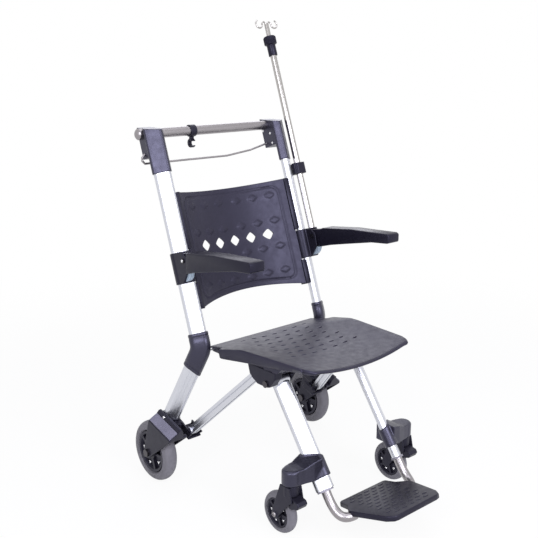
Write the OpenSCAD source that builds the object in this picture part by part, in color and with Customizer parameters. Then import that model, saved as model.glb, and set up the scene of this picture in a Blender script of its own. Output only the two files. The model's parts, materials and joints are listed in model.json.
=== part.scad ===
// Folding stair chair with a push bar, an infusion pole and a telescopic footrest.
// Millimetres. X runs across the chair, the sitter faces -Y, Z is up and the floor is at z = 0.
// Every sided piece is modelled on the right, at +X, and mirrored for the left.

/* [Wheels] */
// Diameter of the rear wheels
rear_wheel_d = 175; // [170:1:178]
// Width of the rear tyres
rear_wheel_w = 42; // [38:1:44]
// Distance between the middle planes of the rear wheels
rear_track = 597; // [592:1:606]
// Diameter of the front caster wheels
caster_wheel_d = 111; // [106:1:114]
// Width of the front caster wheels
caster_wheel_w = 28; // [24:1:30]
// Distance between the two caster swivel axes
caster_track = 420; // [416:1:424]
// How far the caster axle trails behind its swivel axis
caster_trail = 38; // [34:1:40]

/* [Frame] */
// Long width of the oval frame tubes
tube_long = 44; // [42:0.5:45]
// Short width of the oval frame tubes
tube_short = 28; // [27.6:0.1:28.4]
// Wall of the oval frame tubes
tube_wall = 1.6; // [1.4:0.1:1.7]
// Turn of the oval section about the tube axis
tube_turn = 25; // [20:1:30]
// Distance between the axes of the two uprights
upright_spacing = 446; // [444:1:450]
// Backward lean of the uprights from the vertical
recline = 19.5; // [19:0.25:20]
// Distance between the axes of the two front legs
leg_spacing = 272; // [270:1:274]

/* [Seat and back] */
// Width of the seat
seat_w = 434; // [428:1:434]
// Width of the back panel
back_w = 388; // [380:1:388]
// How deep the back panel is hollowed across its width
back_hollow = 51; // [44:1:54]

/* [Fittings] */
// Diameter of the push bar
push_bar_d = 27; // [24:0.5:28]
// Diameter of the footrest tubes
foot_tube_d = 24.6; // [24:0.1:24.6]
// Outer diameter of the infusion pole
pole_d = 20; // [18:0.5:21]
// Diameter of the sliding rod in the infusion pole
rod_d = 14; // [12:0.5:15]
// Width of an armrest
arm_w = 45; // [42:1:46]

/* [Hidden] */
$fn = 64;
broad_fn = 720;
far = 2000;
running_gap = 0.05;
fixed_gap = 0.1;
// How far a cut runs past the face it starts from
cut_over = 1;
// Shift that puts the middle of the chair's length at y = 0
y_shift = 4.55;

// Main points of the right side
rear_wheel_r = rear_wheel_d / 2;
caster_wheel_r = caster_wheel_d / 2;
wheel_centre = [rear_track / 2, 265, rear_wheel_r];
knee = [upright_spacing / 2, 138, 411];
leg_end = [leg_spacing / 2, -259, 126];
leg_pivot = [leg_spacing / 2, -86, 368];
strut_pivot = [241, 162.5, 168.5];
strut_top = [172, -30, 370];
seat_hinge = [0, 130, 405];
arm_pivot = [235, 177, 653];
bar_centre = [0, 368, 972];
bail_pivot = [0, 353, 918];
swivel = [caster_track / 2, -213];
caster_axle = [caster_track / 2, swivel[1] + caster_trail, caster_wheel_r];

upright_l = 584;
rear_leg_l = norm(knee - wheel_centre);
rear_leg_tilt = atan2(wheel_centre[1] - knee[1], knee[2] - wheel_centre[2]);
front_leg_l = norm(leg_pivot - leg_end);
oval_half = (tube_long - tube_short) / 2;

// Colours as the photograph shows them
black = [0.13, 0.13, 0.15];
soft_black = [0.2, 0.19, 0.23];
grey = [0.45, 0.44, 0.48];
alloy = [0.87, 0.88, 0.92];
steel = [0.72, 0.71, 0.7];
pale_blue = [0.55, 0.63, 0.7];

// Turns a run of points upward: places local z along the line between two points, local x across
module aim(from, to) {
    run = to - from;
    translate(from)
        rotate([atan2(-run[1], run[2]), 0, 0])
            rotate([0, asin(run[0] / norm(run)), 0])
                children();
}

// Draws a right-side piece on the right (1) or mirrored on the left (-1)
module on_side(side) {
    if (side > 0) children();
    else mirror([1, 0, 0]) children();
}

// The whole chair's place along Y
module placed() translate([0, y_shift, 0]) children();

// Frame with x across the chair, z up along the uprights and its origin level with the knees
module back_frame() translate([0, knee[1], knee[2]]) rotate([-recline, 0, 0]) children();

// Frame in the wheel's middle plane, z towards the rear leg
module wheel_frame() translate(wheel_centre) rotate([rear_leg_tilt, 0, 0]) children();

// Extrudes a (y, z) outline across the chair between two x values
module across(x_from, x_to)
    translate([x_from, 0, 0]) rotate([90, 0, 90]) linear_extrude(x_to - x_from) children();

// A round bar or bore along X
module rod_x(x_from, x_to, centre, d)
    translate([x_from, centre[1], centre[2]]) rotate([0, 90, 0]) cylinder(d = d, h = x_to - x_from);

// Oval section of the frame tubes, grown evenly outward
module oval(grow = 0) {
    rotate(tube_turn) {
        for (s = [-1, 1]) translate([s * oval_half, 0]) circle(d = tube_short + 2 * grow);
        square([2 * oval_half, tube_short + 2 * grow], center = true);
    }
}

// Rectangle with round corners, about its middle
module rounded(w, h, r) {
    square([w - 2 * r, h], center = true);
    square([w, h - 2 * r], center = true);
    for (x = [-1, 1], y = [-1, 1]) translate([x * (w / 2 - r), y * (h / 2 - r)]) circle(r = r);
}

// Round wire through a list of points, with a slightly swollen ball at each bend
bend_swell = 0.4;
module wire(points, d) {
    for (i = [0 : len(points) - 2]) {
        run = points[i + 1] - points[i];
        translate(points[i]) rotate([0, acos(run[2] / norm(run)), atan2(run[1], run[0])]) {
            cylinder(d = d, h = norm(run));
            if (i > 0) sphere(d = d + bend_swell);
        }
    }
}

// Frame tubes

module upright() color(alloy)
    back_frame() translate([knee[0], 0, tube_stop]) linear_extrude(upright_l - tube_stop)
        difference() { oval(); oval(-tube_wall); }

elbow_grow = 4.5;
elbow_up = 44;
elbow_down = 74;
elbow_knuckle_d = 41;
elbow_knuckle_half = 23;
// How far out the seat pins reach
elbow_bore_x = knee[0] - 4;
// How far short of the knee the tubes end
tube_stop = 15;
module elbow() color(black) difference() {
    union() {
        back_frame() translate([knee[0], 0, 0]) linear_extrude(elbow_up) oval(elbow_grow);
        aim(wheel_centre, knee) translate([0, 0, rear_leg_l - elbow_down])
            linear_extrude(elbow_down) oval(elbow_grow);
        rod_x(knee[0] - elbow_knuckle_half, knee[0] + elbow_knuckle_half, knee, elbow_knuckle_d);
    }
    back_frame() translate([knee[0], 0, tube_stop]) linear_extrude(far) oval(fixed_gap);
    aim(wheel_centre, knee) linear_extrude(rear_leg_l - tube_stop) oval(fixed_gap);
    rod_x(0, elbow_bore_x, seat_hinge, seat_pin_d);
}

rear_leg_start = 104;
module rear_leg() color(alloy)
    aim(wheel_centre, knee) translate([0, 0, rear_leg_start])
        linear_extrude(rear_leg_l - tube_stop - rear_leg_start) difference() { oval(); oval(-tube_wall); }

// Rear wheel bracket: a fork over the wheel, a socket for the leg and a clevis for the strut
rear_axle_d = 12;
fork_gap = 4;
fork_t = 5;
fork_in = rear_wheel_w / 2 + fork_gap;
fork_out = fork_in + fork_t;
bridge_low = rear_wheel_r + 7;
bridge_high = bridge_low + 20;
bridge_in = fork_out + 20;
bridge_out = fork_in - 12;
bridge_y = [-36, 34];
// Ends of the fender's top over the tyre, in the wheel frame
fender_rear = [26, 103];
fender_front = [-80, 115];
fender_t = 8;
axle_boss_r = 17;
socket_low = bridge_low + 8;
socket_top = 150;
tyre_clear = 4;
clevis_t = 5;
clevis_r = 15;
clevis_reach = 40;
strut_pin_d = 8;
strut_w = 22;
// Where the strut pivot lies in the wheel frame
strut_from_wheel = strut_pivot - wheel_centre;
clevis_y = strut_from_wheel[1] * cos(rear_leg_tilt) + strut_from_wheel[2] * sin(rear_leg_tilt);
clevis_z = strut_from_wheel[2] * cos(rear_leg_tilt) - strut_from_wheel[1] * sin(rear_leg_tilt);
clevis_out_gap = 1.5;
clevis_in_gap = 9;
clevis_out = strut_from_wheel[0] + strut_w / 2 + clevis_out_gap;
clevis_in = strut_from_wheel[0] - strut_w / 2 - clevis_in_gap;
// Outlines of the clevis arms and of the floor between them, from the bridge to the strut's pin
clevis_arm = [[clevis_y - 12, clevis_z - 9], [-30, bridge_low], [-30, bridge_high + 8],
              [clevis_y + 6, clevis_z + 13.7]];
clevis_floor = [[clevis_y - 12, clevis_z - 22], [-28, bridge_low - 5], [-28, bridge_low + 4],
                [clevis_y - 12, clevis_z - 16]];
module rear_bracket() color(black) difference() {
    union() {
        wheel_frame() {
            for (x = [-fork_out, fork_in]) across(x, x + fork_t) {
                circle(r = axle_boss_r);
                polygon([[-axle_boss_r, 0], [axle_boss_r, 0], fender_rear, fender_front,
                         fender_front - [0, fender_t]]);
            }
            across(-fork_out, fork_out) polygon([fender_rear, fender_front, fender_front - [0, fender_t],
                                                 fender_rear - [0, fender_t]]);
            across(-bridge_in, -bridge_out) translate([bridge_y[0], bridge_low])
                square([bridge_y[1] - bridge_y[0], bridge_high - bridge_low]);
            for (x = [clevis_in - clevis_t, clevis_out]) across(x, x + clevis_t) {
                translate([clevis_y, clevis_z]) circle(r = clevis_r);
                polygon(clevis_arm);
            }
            across(clevis_in - clevis_t, clevis_out + clevis_t) polygon(clevis_floor);
        }
        aim(wheel_centre, knee) translate([0, 0, socket_low])
            linear_extrude(socket_top - socket_low) oval(elbow_grow);
    }
    aim(wheel_centre, knee) translate([0, 0, rear_leg_start])
        linear_extrude(far) oval(fixed_gap);
    rod_x(wheel_centre[0] - fork_out - cut_over, wheel_centre[0] + fork_out + cut_over, wheel_centre, rear_axle_d);
    rod_x(strut_pivot[0] - clevis_reach, strut_pivot[0] + clevis_reach, strut_pivot, strut_pin_d);
    wheel_frame() rotate([0, 90, 0]) cylinder(r = rear_wheel_r + tyre_clear, h = 2 * fork_in, center = true);
}

axle_head_d = 22;
axle_head_h = 6;
axle_half = fork_out + axle_head_h;
module rear_axle() {
    rod_x(wheel_centre[0] - axle_half, wheel_centre[0] + axle_half, wheel_centre, rear_axle_d);
    for (x = [-axle_half, fork_out])
        rod_x(wheel_centre[0] + x, wheel_centre[0] + x + axle_head_h, wheel_centre, axle_head_d);
}
module rear_axles() color(steel) for (s = [-1, 1]) on_side(s) rear_axle();

// Rear wheels

rear_hub_r = 61;
rear_hub_w = rear_wheel_w - 4;
hub_bolts = 5;
rear_bolt_ring = 39;
rear_bolt_d = 10;
module tyre(r, w, hub_r) {
    round_r = w / 2;
    rotate([0, 90, 0]) rotate_extrude() {
        intersection() {
            translate([hub_r, -w / 2]) square([r - hub_r, w]);
            union() {
                translate([r - round_r, 0]) circle(r = round_r);
                translate([hub_r, -w / 2]) square([r - round_r - hub_r, w]);
            }
        }
    }
}

// Shares of a hub's radius taken by its boss and rim, and of its width by its web and bolts
hub_boss = 0.32;
hub_rim = 0.14;
hub_web = 0.64;
hub_bolt = 0.9;
module hub(r, w, axle_d, bolt_ring, bolt_d) {
    bore_r = axle_d / 2 + running_gap;
    rotate([0, 90, 0]) {
        rotate_extrude() {
            translate([bore_r, -w / 2]) square([hub_boss * r, w]);
            translate([bore_r, -w * hub_web / 2]) square([r - bore_r, w * hub_web]);
            translate([r * (1 - hub_rim), -w / 2]) square([r * hub_rim, w]);
        }
        for (i = [0 : hub_bolts - 1]) rotate(i * 360 / hub_bolts) translate([bolt_ring, 0, 0])
            cylinder(d = bolt_d, h = w * hub_bolt, center = true);
    }
}

module rear_tyre() color(grey)
    translate(wheel_centre) tyre(rear_wheel_r, rear_wheel_w, rear_hub_r);
module rear_hub() color(black)
    translate(wheel_centre) hub(rear_hub_r, rear_hub_w, rear_axle_d, rear_bolt_ring, rear_bolt_d);

// Top caps, push bar and release bail

cap_grow = 5;
cap_corner_r = 7;
// Long enough to reach past the level top
cap_reach = 200;
cap_low = 488;
cap_top_z = 988;
// The block behind the sleeve that holds the push bar, in the frame of the uprights
block_in = knee[0] - 26;
block_out = knee[0] + 7;
block_back = 47.5;
block_low = 538;
bail_d = 6;
module top_cap(with_pole) color(soft_black) difference() {
    back_frame() {
        translate([knee[0], 0, cap_low]) linear_extrude(cap_reach) rotate(tube_turn)
            rounded(tube_long + 2 * cap_grow, tube_short + 2 * cap_grow, cap_corner_r);
        translate([block_in, 0, block_low]) cube([block_out - block_in, block_back, cap_reach]);
    }
    translate([0, 0, cap_top_z]) linear_extrude(far) square(far, center = true);
    back_frame() translate([knee[0], 0, 0]) linear_extrude(upright_l + 1) oval(fixed_gap);
    rod_x(0, far, bar_centre, push_bar_d + 2 * fixed_gap);
    rod_x(0, far, bail_pivot, bail_d + 2 * running_gap);
    rod_x(bar_half - fixed_gap, far, bar_centre, 2 * (plug_r + fixed_gap));
    back_frame() for (p = cap_screws_at)
        rod_x(0, block_in + cap_screw_in, [0, p[0], p[1]], cap_screw_d + 2 * fixed_gap);
    if (with_pole) back_frame() translate([pole_x, pole_back, pole_low])
        cylinder(d = pole_d + 2 * fixed_gap, h = far);
}

bar_half = 240;
bar_wall = 2;
module push_bar() color(steel) difference() {
    rod_x(-bar_half, bar_half, bar_centre, push_bar_d);
    rod_x(-far, far, bar_centre, push_bar_d - 2 * bar_wall);
}

// Domed plugs in the ends of the push bar
plug_in = 12;
plug_r = 15.5;
plug_h = 22;
plug_dome_r = 19;
module bar_plugs() color(steel) for (s = [-1, 1]) on_side(s) {
    rod_x(bar_half - plug_in, bar_half, bar_centre, push_bar_d - 2 * bar_wall - 2 * fixed_gap);
    translate(bar_centre + [bar_half, 0, 0]) rotate([0, 90, 0]) rotate_extrude()
        intersection() {
            square([plug_r, plug_h]);
            translate([0, plug_h - plug_dome_r]) circle(r = plug_dome_r);
        }
}

// Screws in the inner faces of the caps, placed in the frame of the uprights
cap_screw_d = 7;
cap_screw_h = 2.5;
// How deep the heads sit in the caps
cap_screw_in = 0.5;
cap_screws_at = [[40, 590], [10, 575], [9, 545]];
module cap_screws() color(steel) for (s = [-1, 1]) on_side(s) back_frame()
    for (p = cap_screws_at)
        rod_x(block_in + cap_screw_in - cap_screw_h, block_in + cap_screw_in, [0, p[0], p[1]], cap_screw_d);

// The bail hangs between the caps: its right end turns out into a cap, its left end turns in from outside
bail_drop = 25;
bail_pin = 12;
bail_slope_from = [128, 15];
bail_level_from = 40;
bail_loop_x = knee[0] + 29;
bail_lead = 4;
bail_turn = 8;
module release_bail() color(steel) {
    y = bail_pivot[1];
    z = bail_pivot[2];
    wire([[block_in + bail_pin, y, z], [block_in - bail_lead, y, z],
          [bail_slope_from[0], y, z - bail_slope_from[1]], [bail_level_from, y, z - bail_drop],
          [-bail_loop_x + bail_turn, y, z - bail_drop], [-bail_loop_x, y, z - bail_drop + bail_turn],
          [-bail_loop_x, y, z - bail_turn], [-bail_loop_x + bail_turn, y, z],
          [-block_out + bail_pin, y, z]], bail_d);
}

// Open clip that hangs from a band round the push bar
clip_x = -76;
clip_band_half = 10;
clip_band_t = 3.5;
clip_half = 6;
clip_drop = 35;
clip_r = 13;
clip_bore_r = 7;
clip_neck_half = 4;
clip_mouth_half = 6;
module bar_clip() color(black) difference() {
    union() {
        rod_x(clip_x - clip_band_half, clip_x + clip_band_half, bar_centre, push_bar_d + 2 * clip_band_t);
        across(clip_x - clip_half, clip_x + clip_half)
            translate([bar_centre[1], bar_centre[2] - clip_drop]) {
                difference() {
                    circle(r = clip_r);
                    circle(r = clip_bore_r);
                    translate([-2 * clip_r, -clip_mouth_half]) square([2 * clip_r, 2 * clip_mouth_half]);
                }
                translate([-clip_neck_half, (clip_bore_r + clip_r) / 2])
                    square([2 * clip_neck_half, clip_drop - (clip_bore_r + push_bar_d) / 2]);
            }
    }
    rod_x(-far, far, bar_centre, push_bar_d + 2 * running_gap);
}

// Back panel: a hollowed sheet with five diamond holes and side channels against the uprights

back_low = 105;
back_high = 430;
back_t = 6;
back_front = -10;
// The side channels overlap the sheet and stand a little forward of it
channel_lap = 3;
channel_proud = 2;
channel_d = 32;
// Notches in the panel's sides for the arm brackets
notch_in = 6;
notch_w = 40;
notch_d = 100;
notch_gap = 3;
back_r = (pow(back_w / 2, 2) + pow(back_hollow, 2)) / (2 * back_hollow);
channel_w = 12;
bottom_rise = 25;
bottom_r = (pow(back_w / 2, 2) + pow(bottom_rise, 2)) / (2 * bottom_rise);
diamond_side = 24;
diamond_pitch = 58;
diamond_z = 275;
module back_panel() color(soft_black) back_frame() difference() {
    union() {
        translate([0, 0, back_low]) linear_extrude(back_high - back_low) intersection() {
            translate([0, back_front + back_hollow - back_r]) difference() {
                circle(r = back_r + back_t, $fn = broad_fn);
                circle(r = back_r, $fn = broad_fn);
            }
            translate([-back_w / 2, back_front - back_t]) square([back_w, 2 * back_hollow]);
        }
        for (s = [-1, 1]) on_side(s) translate([back_w / 2 - channel_lap, back_front - channel_proud, back_low])
            cube([channel_w, channel_d, back_high - back_low]);
    }
    for (s = [-1, 1]) on_side(s) {
        translate([knee[0], 0, 0]) linear_extrude(far) oval(fixed_gap);
        translate([back_w / 2 - notch_in, -notch_d / 2, arm_bracket_low - notch_gap])
            cube([notch_w, notch_d, arm_bracket_high - arm_bracket_low + 2 * notch_gap]);
    }
    translate([0, 0, back_low + bottom_rise - bottom_r]) rotate([90, 0, 0])
        cylinder(r = bottom_r, h = far, center = true, $fn = broad_fn);
    for (i = [-2 : 2]) translate([i * diamond_pitch, 0, diamond_z]) rotate([0, 45, 0])
        cube([diamond_side, far, diamond_side], center = true);
}

// Armrests: a clamp on each upright, a folding arm, its pin and a stop under it

arm_bracket_low = 182;
arm_bracket_high = 268;
arm_grow = 6;
arm_pin_d = 10;
tongue_w = 16;
cheek_t = 5;
cheek_gap = 0.4;
cheek_r = 15;
arm_block_front = -26;
arm_block_d = 30;
// Slot for the arm's root
slot_r = 25;
slot_low = arm_bracket_low + 24;
slot_front = -90;
slot_back = -24;
// Sleeve for the infusion pole on the right bracket
pole_sleeve_low = arm_bracket_low + 20;
pole_sleeve_t = 5.5;
// Where the arm pivot lies in the back frame
arm_up = (arm_pivot[1] - knee[1]) * sin(recline) + (arm_pivot[2] - knee[2]) * cos(recline);
arm_back = (arm_pivot[1] - knee[1]) * cos(recline) - (arm_pivot[2] - knee[2]) * sin(recline);
cheek_outline = [[slot_back, arm_bracket_low], [slot_back, arm_bracket_high], [arm_back - 2, arm_bracket_high - 4],
                 [arm_back - cheek_r, arm_up], [arm_back - 12, arm_up - 30]];
cheek_x = [arm_pivot[0] - tongue_w / 2 - cheek_gap - cheek_t, arm_pivot[0] + tongue_w / 2 + cheek_gap];
module arm_bracket(with_pole) color(black) back_frame() difference() {
    union() {
        translate([knee[0], 0, arm_bracket_low]) linear_extrude(arm_bracket_high - arm_bracket_low)
            oval(arm_grow);
        translate([cheek_x[0], arm_block_front, arm_bracket_low])
            cube([cheek_x[1] + cheek_t - cheek_x[0], arm_block_d, arm_bracket_high - arm_bracket_low]);
        for (x = cheek_x) across(x, x + cheek_t) {
            translate([arm_back, arm_up]) circle(r = cheek_r);
            polygon(cheek_outline);
        }
        if (with_pole) translate([pole_x, pole_back, pole_sleeve_low])
            cylinder(d = pole_d + 2 * pole_sleeve_t, h = arm_bracket_high - pole_sleeve_low);
    }
    translate([knee[0], 0, 0]) linear_extrude(far) oval(fixed_gap);
    translate([0, arm_back, arm_up]) rotate([0, 90, 0]) cylinder(d = arm_pin_d, h = far);
    translate([cheek_x[0] + cheek_t, arm_back, arm_up]) rotate([0, 90, 0])
        cylinder(r = slot_r, h = tongue_w + 2 * cheek_gap);
    translate([cheek_x[0] + cheek_t, slot_front, slot_low])
        cube([tongue_w + 2 * cheek_gap, slot_back - slot_front, far]);
    if (with_pole) translate([pole_x, pole_back, pole_low]) cylinder(d = pole_d + 2 * fixed_gap, h = far);
}

// Quadrant lugs that the arms come down on
stop_r = 30;
stop_w = 14;
stop_back = 6;
stop_gap = 0.3;
module arm_stops() color(pale_blue) for (s = [-1, 1]) on_side(s) intersection() {
    across(arm_pivot[0] - stop_w / 2, arm_pivot[0] + stop_w / 2)
        translate([arm_pivot[1] + stop_back, arm_pivot[2] - arm_drop - stop_gap]) intersection() {
            circle(r = stop_r);
            translate([-stop_r, -stop_r]) square([2 * stop_r, stop_r]);
        }
    back_frame() translate([0, arm_block_front - far, 0]) cube([far, far - fixed_gap, far]);
}

arm_head_d = 13;
arm_head_h = 3;
module arm_pins() color(steel) for (s = [-1, 1]) on_side(s) {
    rod_x(cheek_x[0], cheek_x[1] + cheek_t, arm_pivot, arm_pin_d);
    for (x = [cheek_x[0] - arm_head_h, cheek_x[1] + cheek_t])
        rod_x(x, x + arm_head_h, arm_pivot, arm_head_d);
}

arm_drop = 29;
arm_tip = [-126, 708];
arm_tip_h = 28;
arm_wide_from = 140;
arm_root_r = 20;
// How far outside its pivot the arm's pad is centred
arm_offset = 8;
arm_root = [[arm_pivot[1], arm_pivot[2] + arm_root_r], [arm_wide_from - 2, 683], [arm_wide_from - 2, 630],
            [arm_pivot[1] - 24, arm_pivot[2] - arm_drop], [arm_pivot[1], arm_pivot[2] - arm_root_r]];
arm_pad = [[arm_wide_from, 680], [arm_wide_from - 5, 685], arm_tip + [8, 0], arm_tip - [0, 5],
           arm_tip - [0, arm_tip_h - 3], arm_tip - [-4, arm_tip_h], [70, 651], [arm_wide_from, 626]];
module armrest() color(soft_black) difference() {
    union() {
        across(arm_pivot[0] - tongue_w / 2, arm_pivot[0] + tongue_w / 2) {
            translate([arm_pivot[1], arm_pivot[2]]) circle(r = arm_root_r);
            polygon(arm_root);
        }
        across(arm_pivot[0] + arm_offset - arm_w / 2, arm_pivot[0] + arm_offset + arm_w / 2)
            polygon(arm_pad);
    }
    rod_x(0, far, arm_pivot, arm_pin_d + 2 * running_gap);
}

// Infusion pole: a tube beside the right upright, a sliding rod with hooks and a twist collar

pole_x = 258;
pole_back = -12;
pole_low = 206;
pole_high = 838;
pole_wall = 1.2;
pole_floor_t = 4;
collar_low = pole_high - 14;
module pole_frame() back_frame() translate([pole_x, pole_back, 0]) children();

module pole_tube() color(steel) pole_frame() translate([0, 0, pole_low]) difference() {
    cylinder(d = pole_d, h = pole_high - pole_low);
    translate([0, 0, pole_floor_t]) cylinder(d = pole_d - 2 * pole_wall, h = far);
}

clamp_low = 437;
clamp_h = 34;
clamp_grow = 6;
clamp_corner_r = 4;
// How far out from the upright's axis the clamp begins
clamp_from = 12;
module pole_clamp() color(black) back_frame() translate([0, 0, clamp_low]) linear_extrude(clamp_h)
    difference() {
        union() {
            translate([pole_x, pole_back])
                rounded(pole_d + 2 * clamp_grow, pole_d + 2 * clamp_grow, clamp_corner_r);
            translate([knee[0], pole_back - pole_d / 2]) square([pole_x - knee[0], pole_d]);
        }
        translate([knee[0], 0]) oval(fixed_gap);
        translate([0, pole_back - far / 2]) square([knee[0] + clamp_from, far]);
        translate([pole_x, pole_back]) circle(d = pole_d + 2 * fixed_gap);
    }

rod_low = 560;
rod_high = 905;
module pole_rod() color(steel) pole_frame() translate([0, 0, rod_low]) cylinder(d = rod_d, h = rod_high - rod_low);

collar_d = 38;
collar_sleeve_d = 27;
collar_sleeve_low = collar_low - 16;
collar_grip_low = collar_low + 18;
collar_grip_h = 26;
collar_ribs = 12;
collar_rib_d = 3;
collar_rib_end = 2;
module pole_collar() color(soft_black) pole_frame() difference() {
    union() {
        translate([0, 0, collar_sleeve_low])
            cylinder(d = collar_sleeve_d, h = collar_grip_low - collar_sleeve_low);
        translate([0, 0, collar_grip_low]) cylinder(d = collar_d, h = collar_grip_h);
        for (i = [0 : collar_ribs - 1]) rotate(i * 360 / collar_ribs)
            translate([(collar_d - cut_over) / 2, 0, collar_grip_low + collar_rib_end])
                cylinder(d = collar_rib_d, h = collar_grip_h - 2 * collar_rib_end);
    }
    translate([0, 0, collar_sleeve_low - cut_over])
        cylinder(d = pole_d + 2 * running_gap, h = pole_high + 2 - collar_sleeve_low + cut_over);
    translate([0, 0, pole_high]) cylinder(d = rod_d + 2 * running_gap, h = far);
}

// Two open hooks on the rod's end, one each way across the chair
hook_d = 5;
hook_start = 3.6;
hook_neck_r = 7;
hook_r = 12;
hook_sweep = 245;
hook_base_h = 4;
hook_rise = 3;
// Arc of wire in the xz plane
module wire_arc(centre_x, r, start, sweep, d)
    translate([centre_x, 0, 0]) rotate([90, 0, 0]) rotate(start) rotate_extrude(angle = sweep)
        translate([r, 0]) circle(d = d);
module pole_hook() color(steel) pole_frame() translate([0, 0, rod_high]) {
    cylinder(d = rod_d, h = hook_base_h);
    translate([0, 0, hook_rise]) for (s = [-1, 1]) on_side(s) {
        wire_arc(hook_start + hook_neck_r, hook_neck_r, 0, 180, hook_d);
        wire_arc(hook_start + 2 * hook_neck_r + hook_r, hook_r, 180, hook_sweep, hook_d);
    }
}

// Seat

seat_pin_d = 8;
seat_pin_in = 28;
seat_front = -262;
seat_rear = 150;
// Half widths at the tongue between the elbows and at the front
tongue_half = knee[0] - 30;
seat_front_half = 188;
seat_corner_r = 38;
// The corner arcs stand this far proud of the straight edges, so they cross them
seat_corner_lap = 0.8;
seat_front_r = 1900;
// Where the tongue ends and where the seat is widest
tongue_y = 92;
widest_y = 50;
// Shallow dish along the seat, lowest at its rear
dish_low = 426;
dish_y = -120;
dish_slope = 2.8;
dish_r = 888;
// Gap between the seat and what it comes down on
rest_gap = 0.4;
bracket_top = 406;
keel_half = 184;
seat_side = [[tongue_half, seat_rear], [tongue_half, tongue_y], [seat_w / 2, widest_y],
             [seat_front_half, seat_front + seat_corner_r], [seat_front_half - seat_corner_r, seat_front]];
seat_far_side = [for (i = [len(seat_side) - 1 : -1 : 0]) [-seat_side[i][0], seat_side[i][1]]];
module seat_plan(h) intersection() {
    union() {
        linear_extrude(h) polygon(concat(seat_side, seat_far_side));
        for (s = [-1, 1]) translate([s * (seat_front_half - seat_corner_r), seat_front + seat_corner_r, 0])
            cylinder(r = seat_corner_r + seat_corner_lap, h = h);
    }
    translate([0, seat_front + seat_front_r, 0]) cylinder(r = seat_front_r, h = h, $fn = broad_fn);
}
// Side outline: the rim rises from the tongue, runs level and rolls over at the front
rim_top = [[seat_rear, 404], [140, 411], [117, 415.5], [-25, 448], [-236, 450], [-254, 446], [seat_front, 439]];
rim_below = [[-260, 434.5], [-215, 437], [-165, 428], [-50, 415], [60, 400], [112, 396.5], [seat_rear, 397]];
belly_t = 9;
belly_low = 390;
keel_outline = [[-8, bracket_top + rest_gap], [-126, bracket_top + rest_gap], [-150, 426], [10, 409]];
module dish(r) translate([0, dish_y, dish_low + dish_r]) rotate([90 - dish_slope, 0, 0])
    cylinder(r = r, h = far, center = true, $fn = broad_fn);
module seat_panel() color(soft_black) difference() {
    intersection() {
        union() {
            across(-seat_w / 2, seat_w / 2) polygon(concat(rim_top, rim_below));
            across(-keel_half, keel_half) polygon(keel_outline);
            intersection() {
                across(-seat_w / 2, seat_w / 2)
                    polygon(concat(rim_top, [[seat_front, belly_low], [seat_rear, belly_low]]));
                dish(dish_r + belly_t);
            }
        }
        translate([0, 0, bracket_top / 2]) seat_plan(bracket_top);
    }
    dish(dish_r);
    for (s = [-1, 1]) on_side(s)
        rod_x(tongue_half - seat_pin_in, far, seat_hinge, seat_pin_d + 2 * running_gap);
}

module seat_pins() color(steel) for (s = [-1, 1]) on_side(s)
    rod_x(tongue_half - seat_pin_in + cut_over, elbow_bore_x, seat_hinge, seat_pin_d);

// Struts from the rear brackets up to the leg brackets

strut_groove_w = 5;
strut_groove_d = 3;
// How far the round eye stands out past the bar on its inner and outer sides
strut_eye_in = 0.5;
strut_eye_out = 1;
module strut() color(alloy) difference() {
    union() {
        aim(strut_pivot, strut_top) linear_extrude(norm(strut_top - strut_pivot)) difference() {
            square(strut_w, center = true);
            for (a = [0 : 90 : 270]) rotate(a) translate([strut_w / 2, 0])
                square([2 * strut_groove_d, strut_groove_w], center = true);
        }
        rod_x(strut_pivot[0] - strut_w / 2 - strut_eye_in, strut_pivot[0] + strut_w / 2 + strut_eye_out,
              strut_pivot, strut_w);
    }
    rod_x(0, far, strut_pivot, strut_pin_d + 2 * running_gap);
}

strut_pin_over = 3;
module strut_pins() color(steel) for (s = [-1, 1]) on_side(s)
    rod_x(wheel_centre[0] + clevis_in - clevis_t - strut_pin_over,
          wheel_centre[0] + clevis_out + clevis_t + strut_pin_over, strut_pivot, strut_pin_d);

// Leg brackets: a moulded channel that holds the strut's end and carries the front leg's pivot
leg_pin_d = 10;
leg_gap = 1;
leg_half = 22.5;
cheek_wall = 6;
inner_cheek = leg_pivot[0] - leg_half - leg_gap - cheek_wall;
outer_cheek = leg_pivot[0] + leg_half + leg_gap;
outer_face = 184;
bracket_plate_t = 8;
bracket_plate_y = [-120, -20];
outer_outline = [[-12, bracket_top], [-122, bracket_top], [-120, 388], [-100, 362], [-88, 358.5],
                 [-52, 358.5], [-22, 374]];
inner_outline = [[-30, bracket_top], [-120, bracket_top], [-116, 388], [-98, 358.5], [-74, 358.5]];
module leg_bracket() color(black) difference() {
    union() {
        across(outer_cheek, outer_face) polygon(outer_outline);
        across(inner_cheek, inner_cheek + cheek_wall) polygon(inner_outline);
        across(inner_cheek, outer_face) translate([bracket_plate_y[0], bracket_top - bracket_plate_t])
            square([bracket_plate_y[1] - bracket_plate_y[0], bracket_plate_t]);
    }
    rod_x(0, far, leg_pivot, leg_pin_d);
    aim(strut_pivot, strut_top) linear_extrude(norm(strut_top - strut_pivot) + fixed_gap)
        square(strut_w + 2 * fixed_gap, center = true);
}

cross_d = 22;
cross_wall = 2;
cross_at = [0, -52, 378];
module cross_tube() color(alloy) difference() {
    rod_x(-inner_cheek, inner_cheek, cross_at, cross_d);
    rod_x(-far, far, cross_at, cross_d - 2 * cross_wall);
}

leg_head_d = 18;
leg_head_h = 4;
module leg_pins() color(steel) for (s = [-1, 1]) on_side(s) {
    rod_x(inner_cheek, outer_face, leg_pivot, leg_pin_d);
    for (x = [inner_cheek - leg_head_h, outer_face]) rod_x(x, x + leg_head_h, leg_pivot, leg_head_d);
}

// Front legs and what they carry

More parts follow.
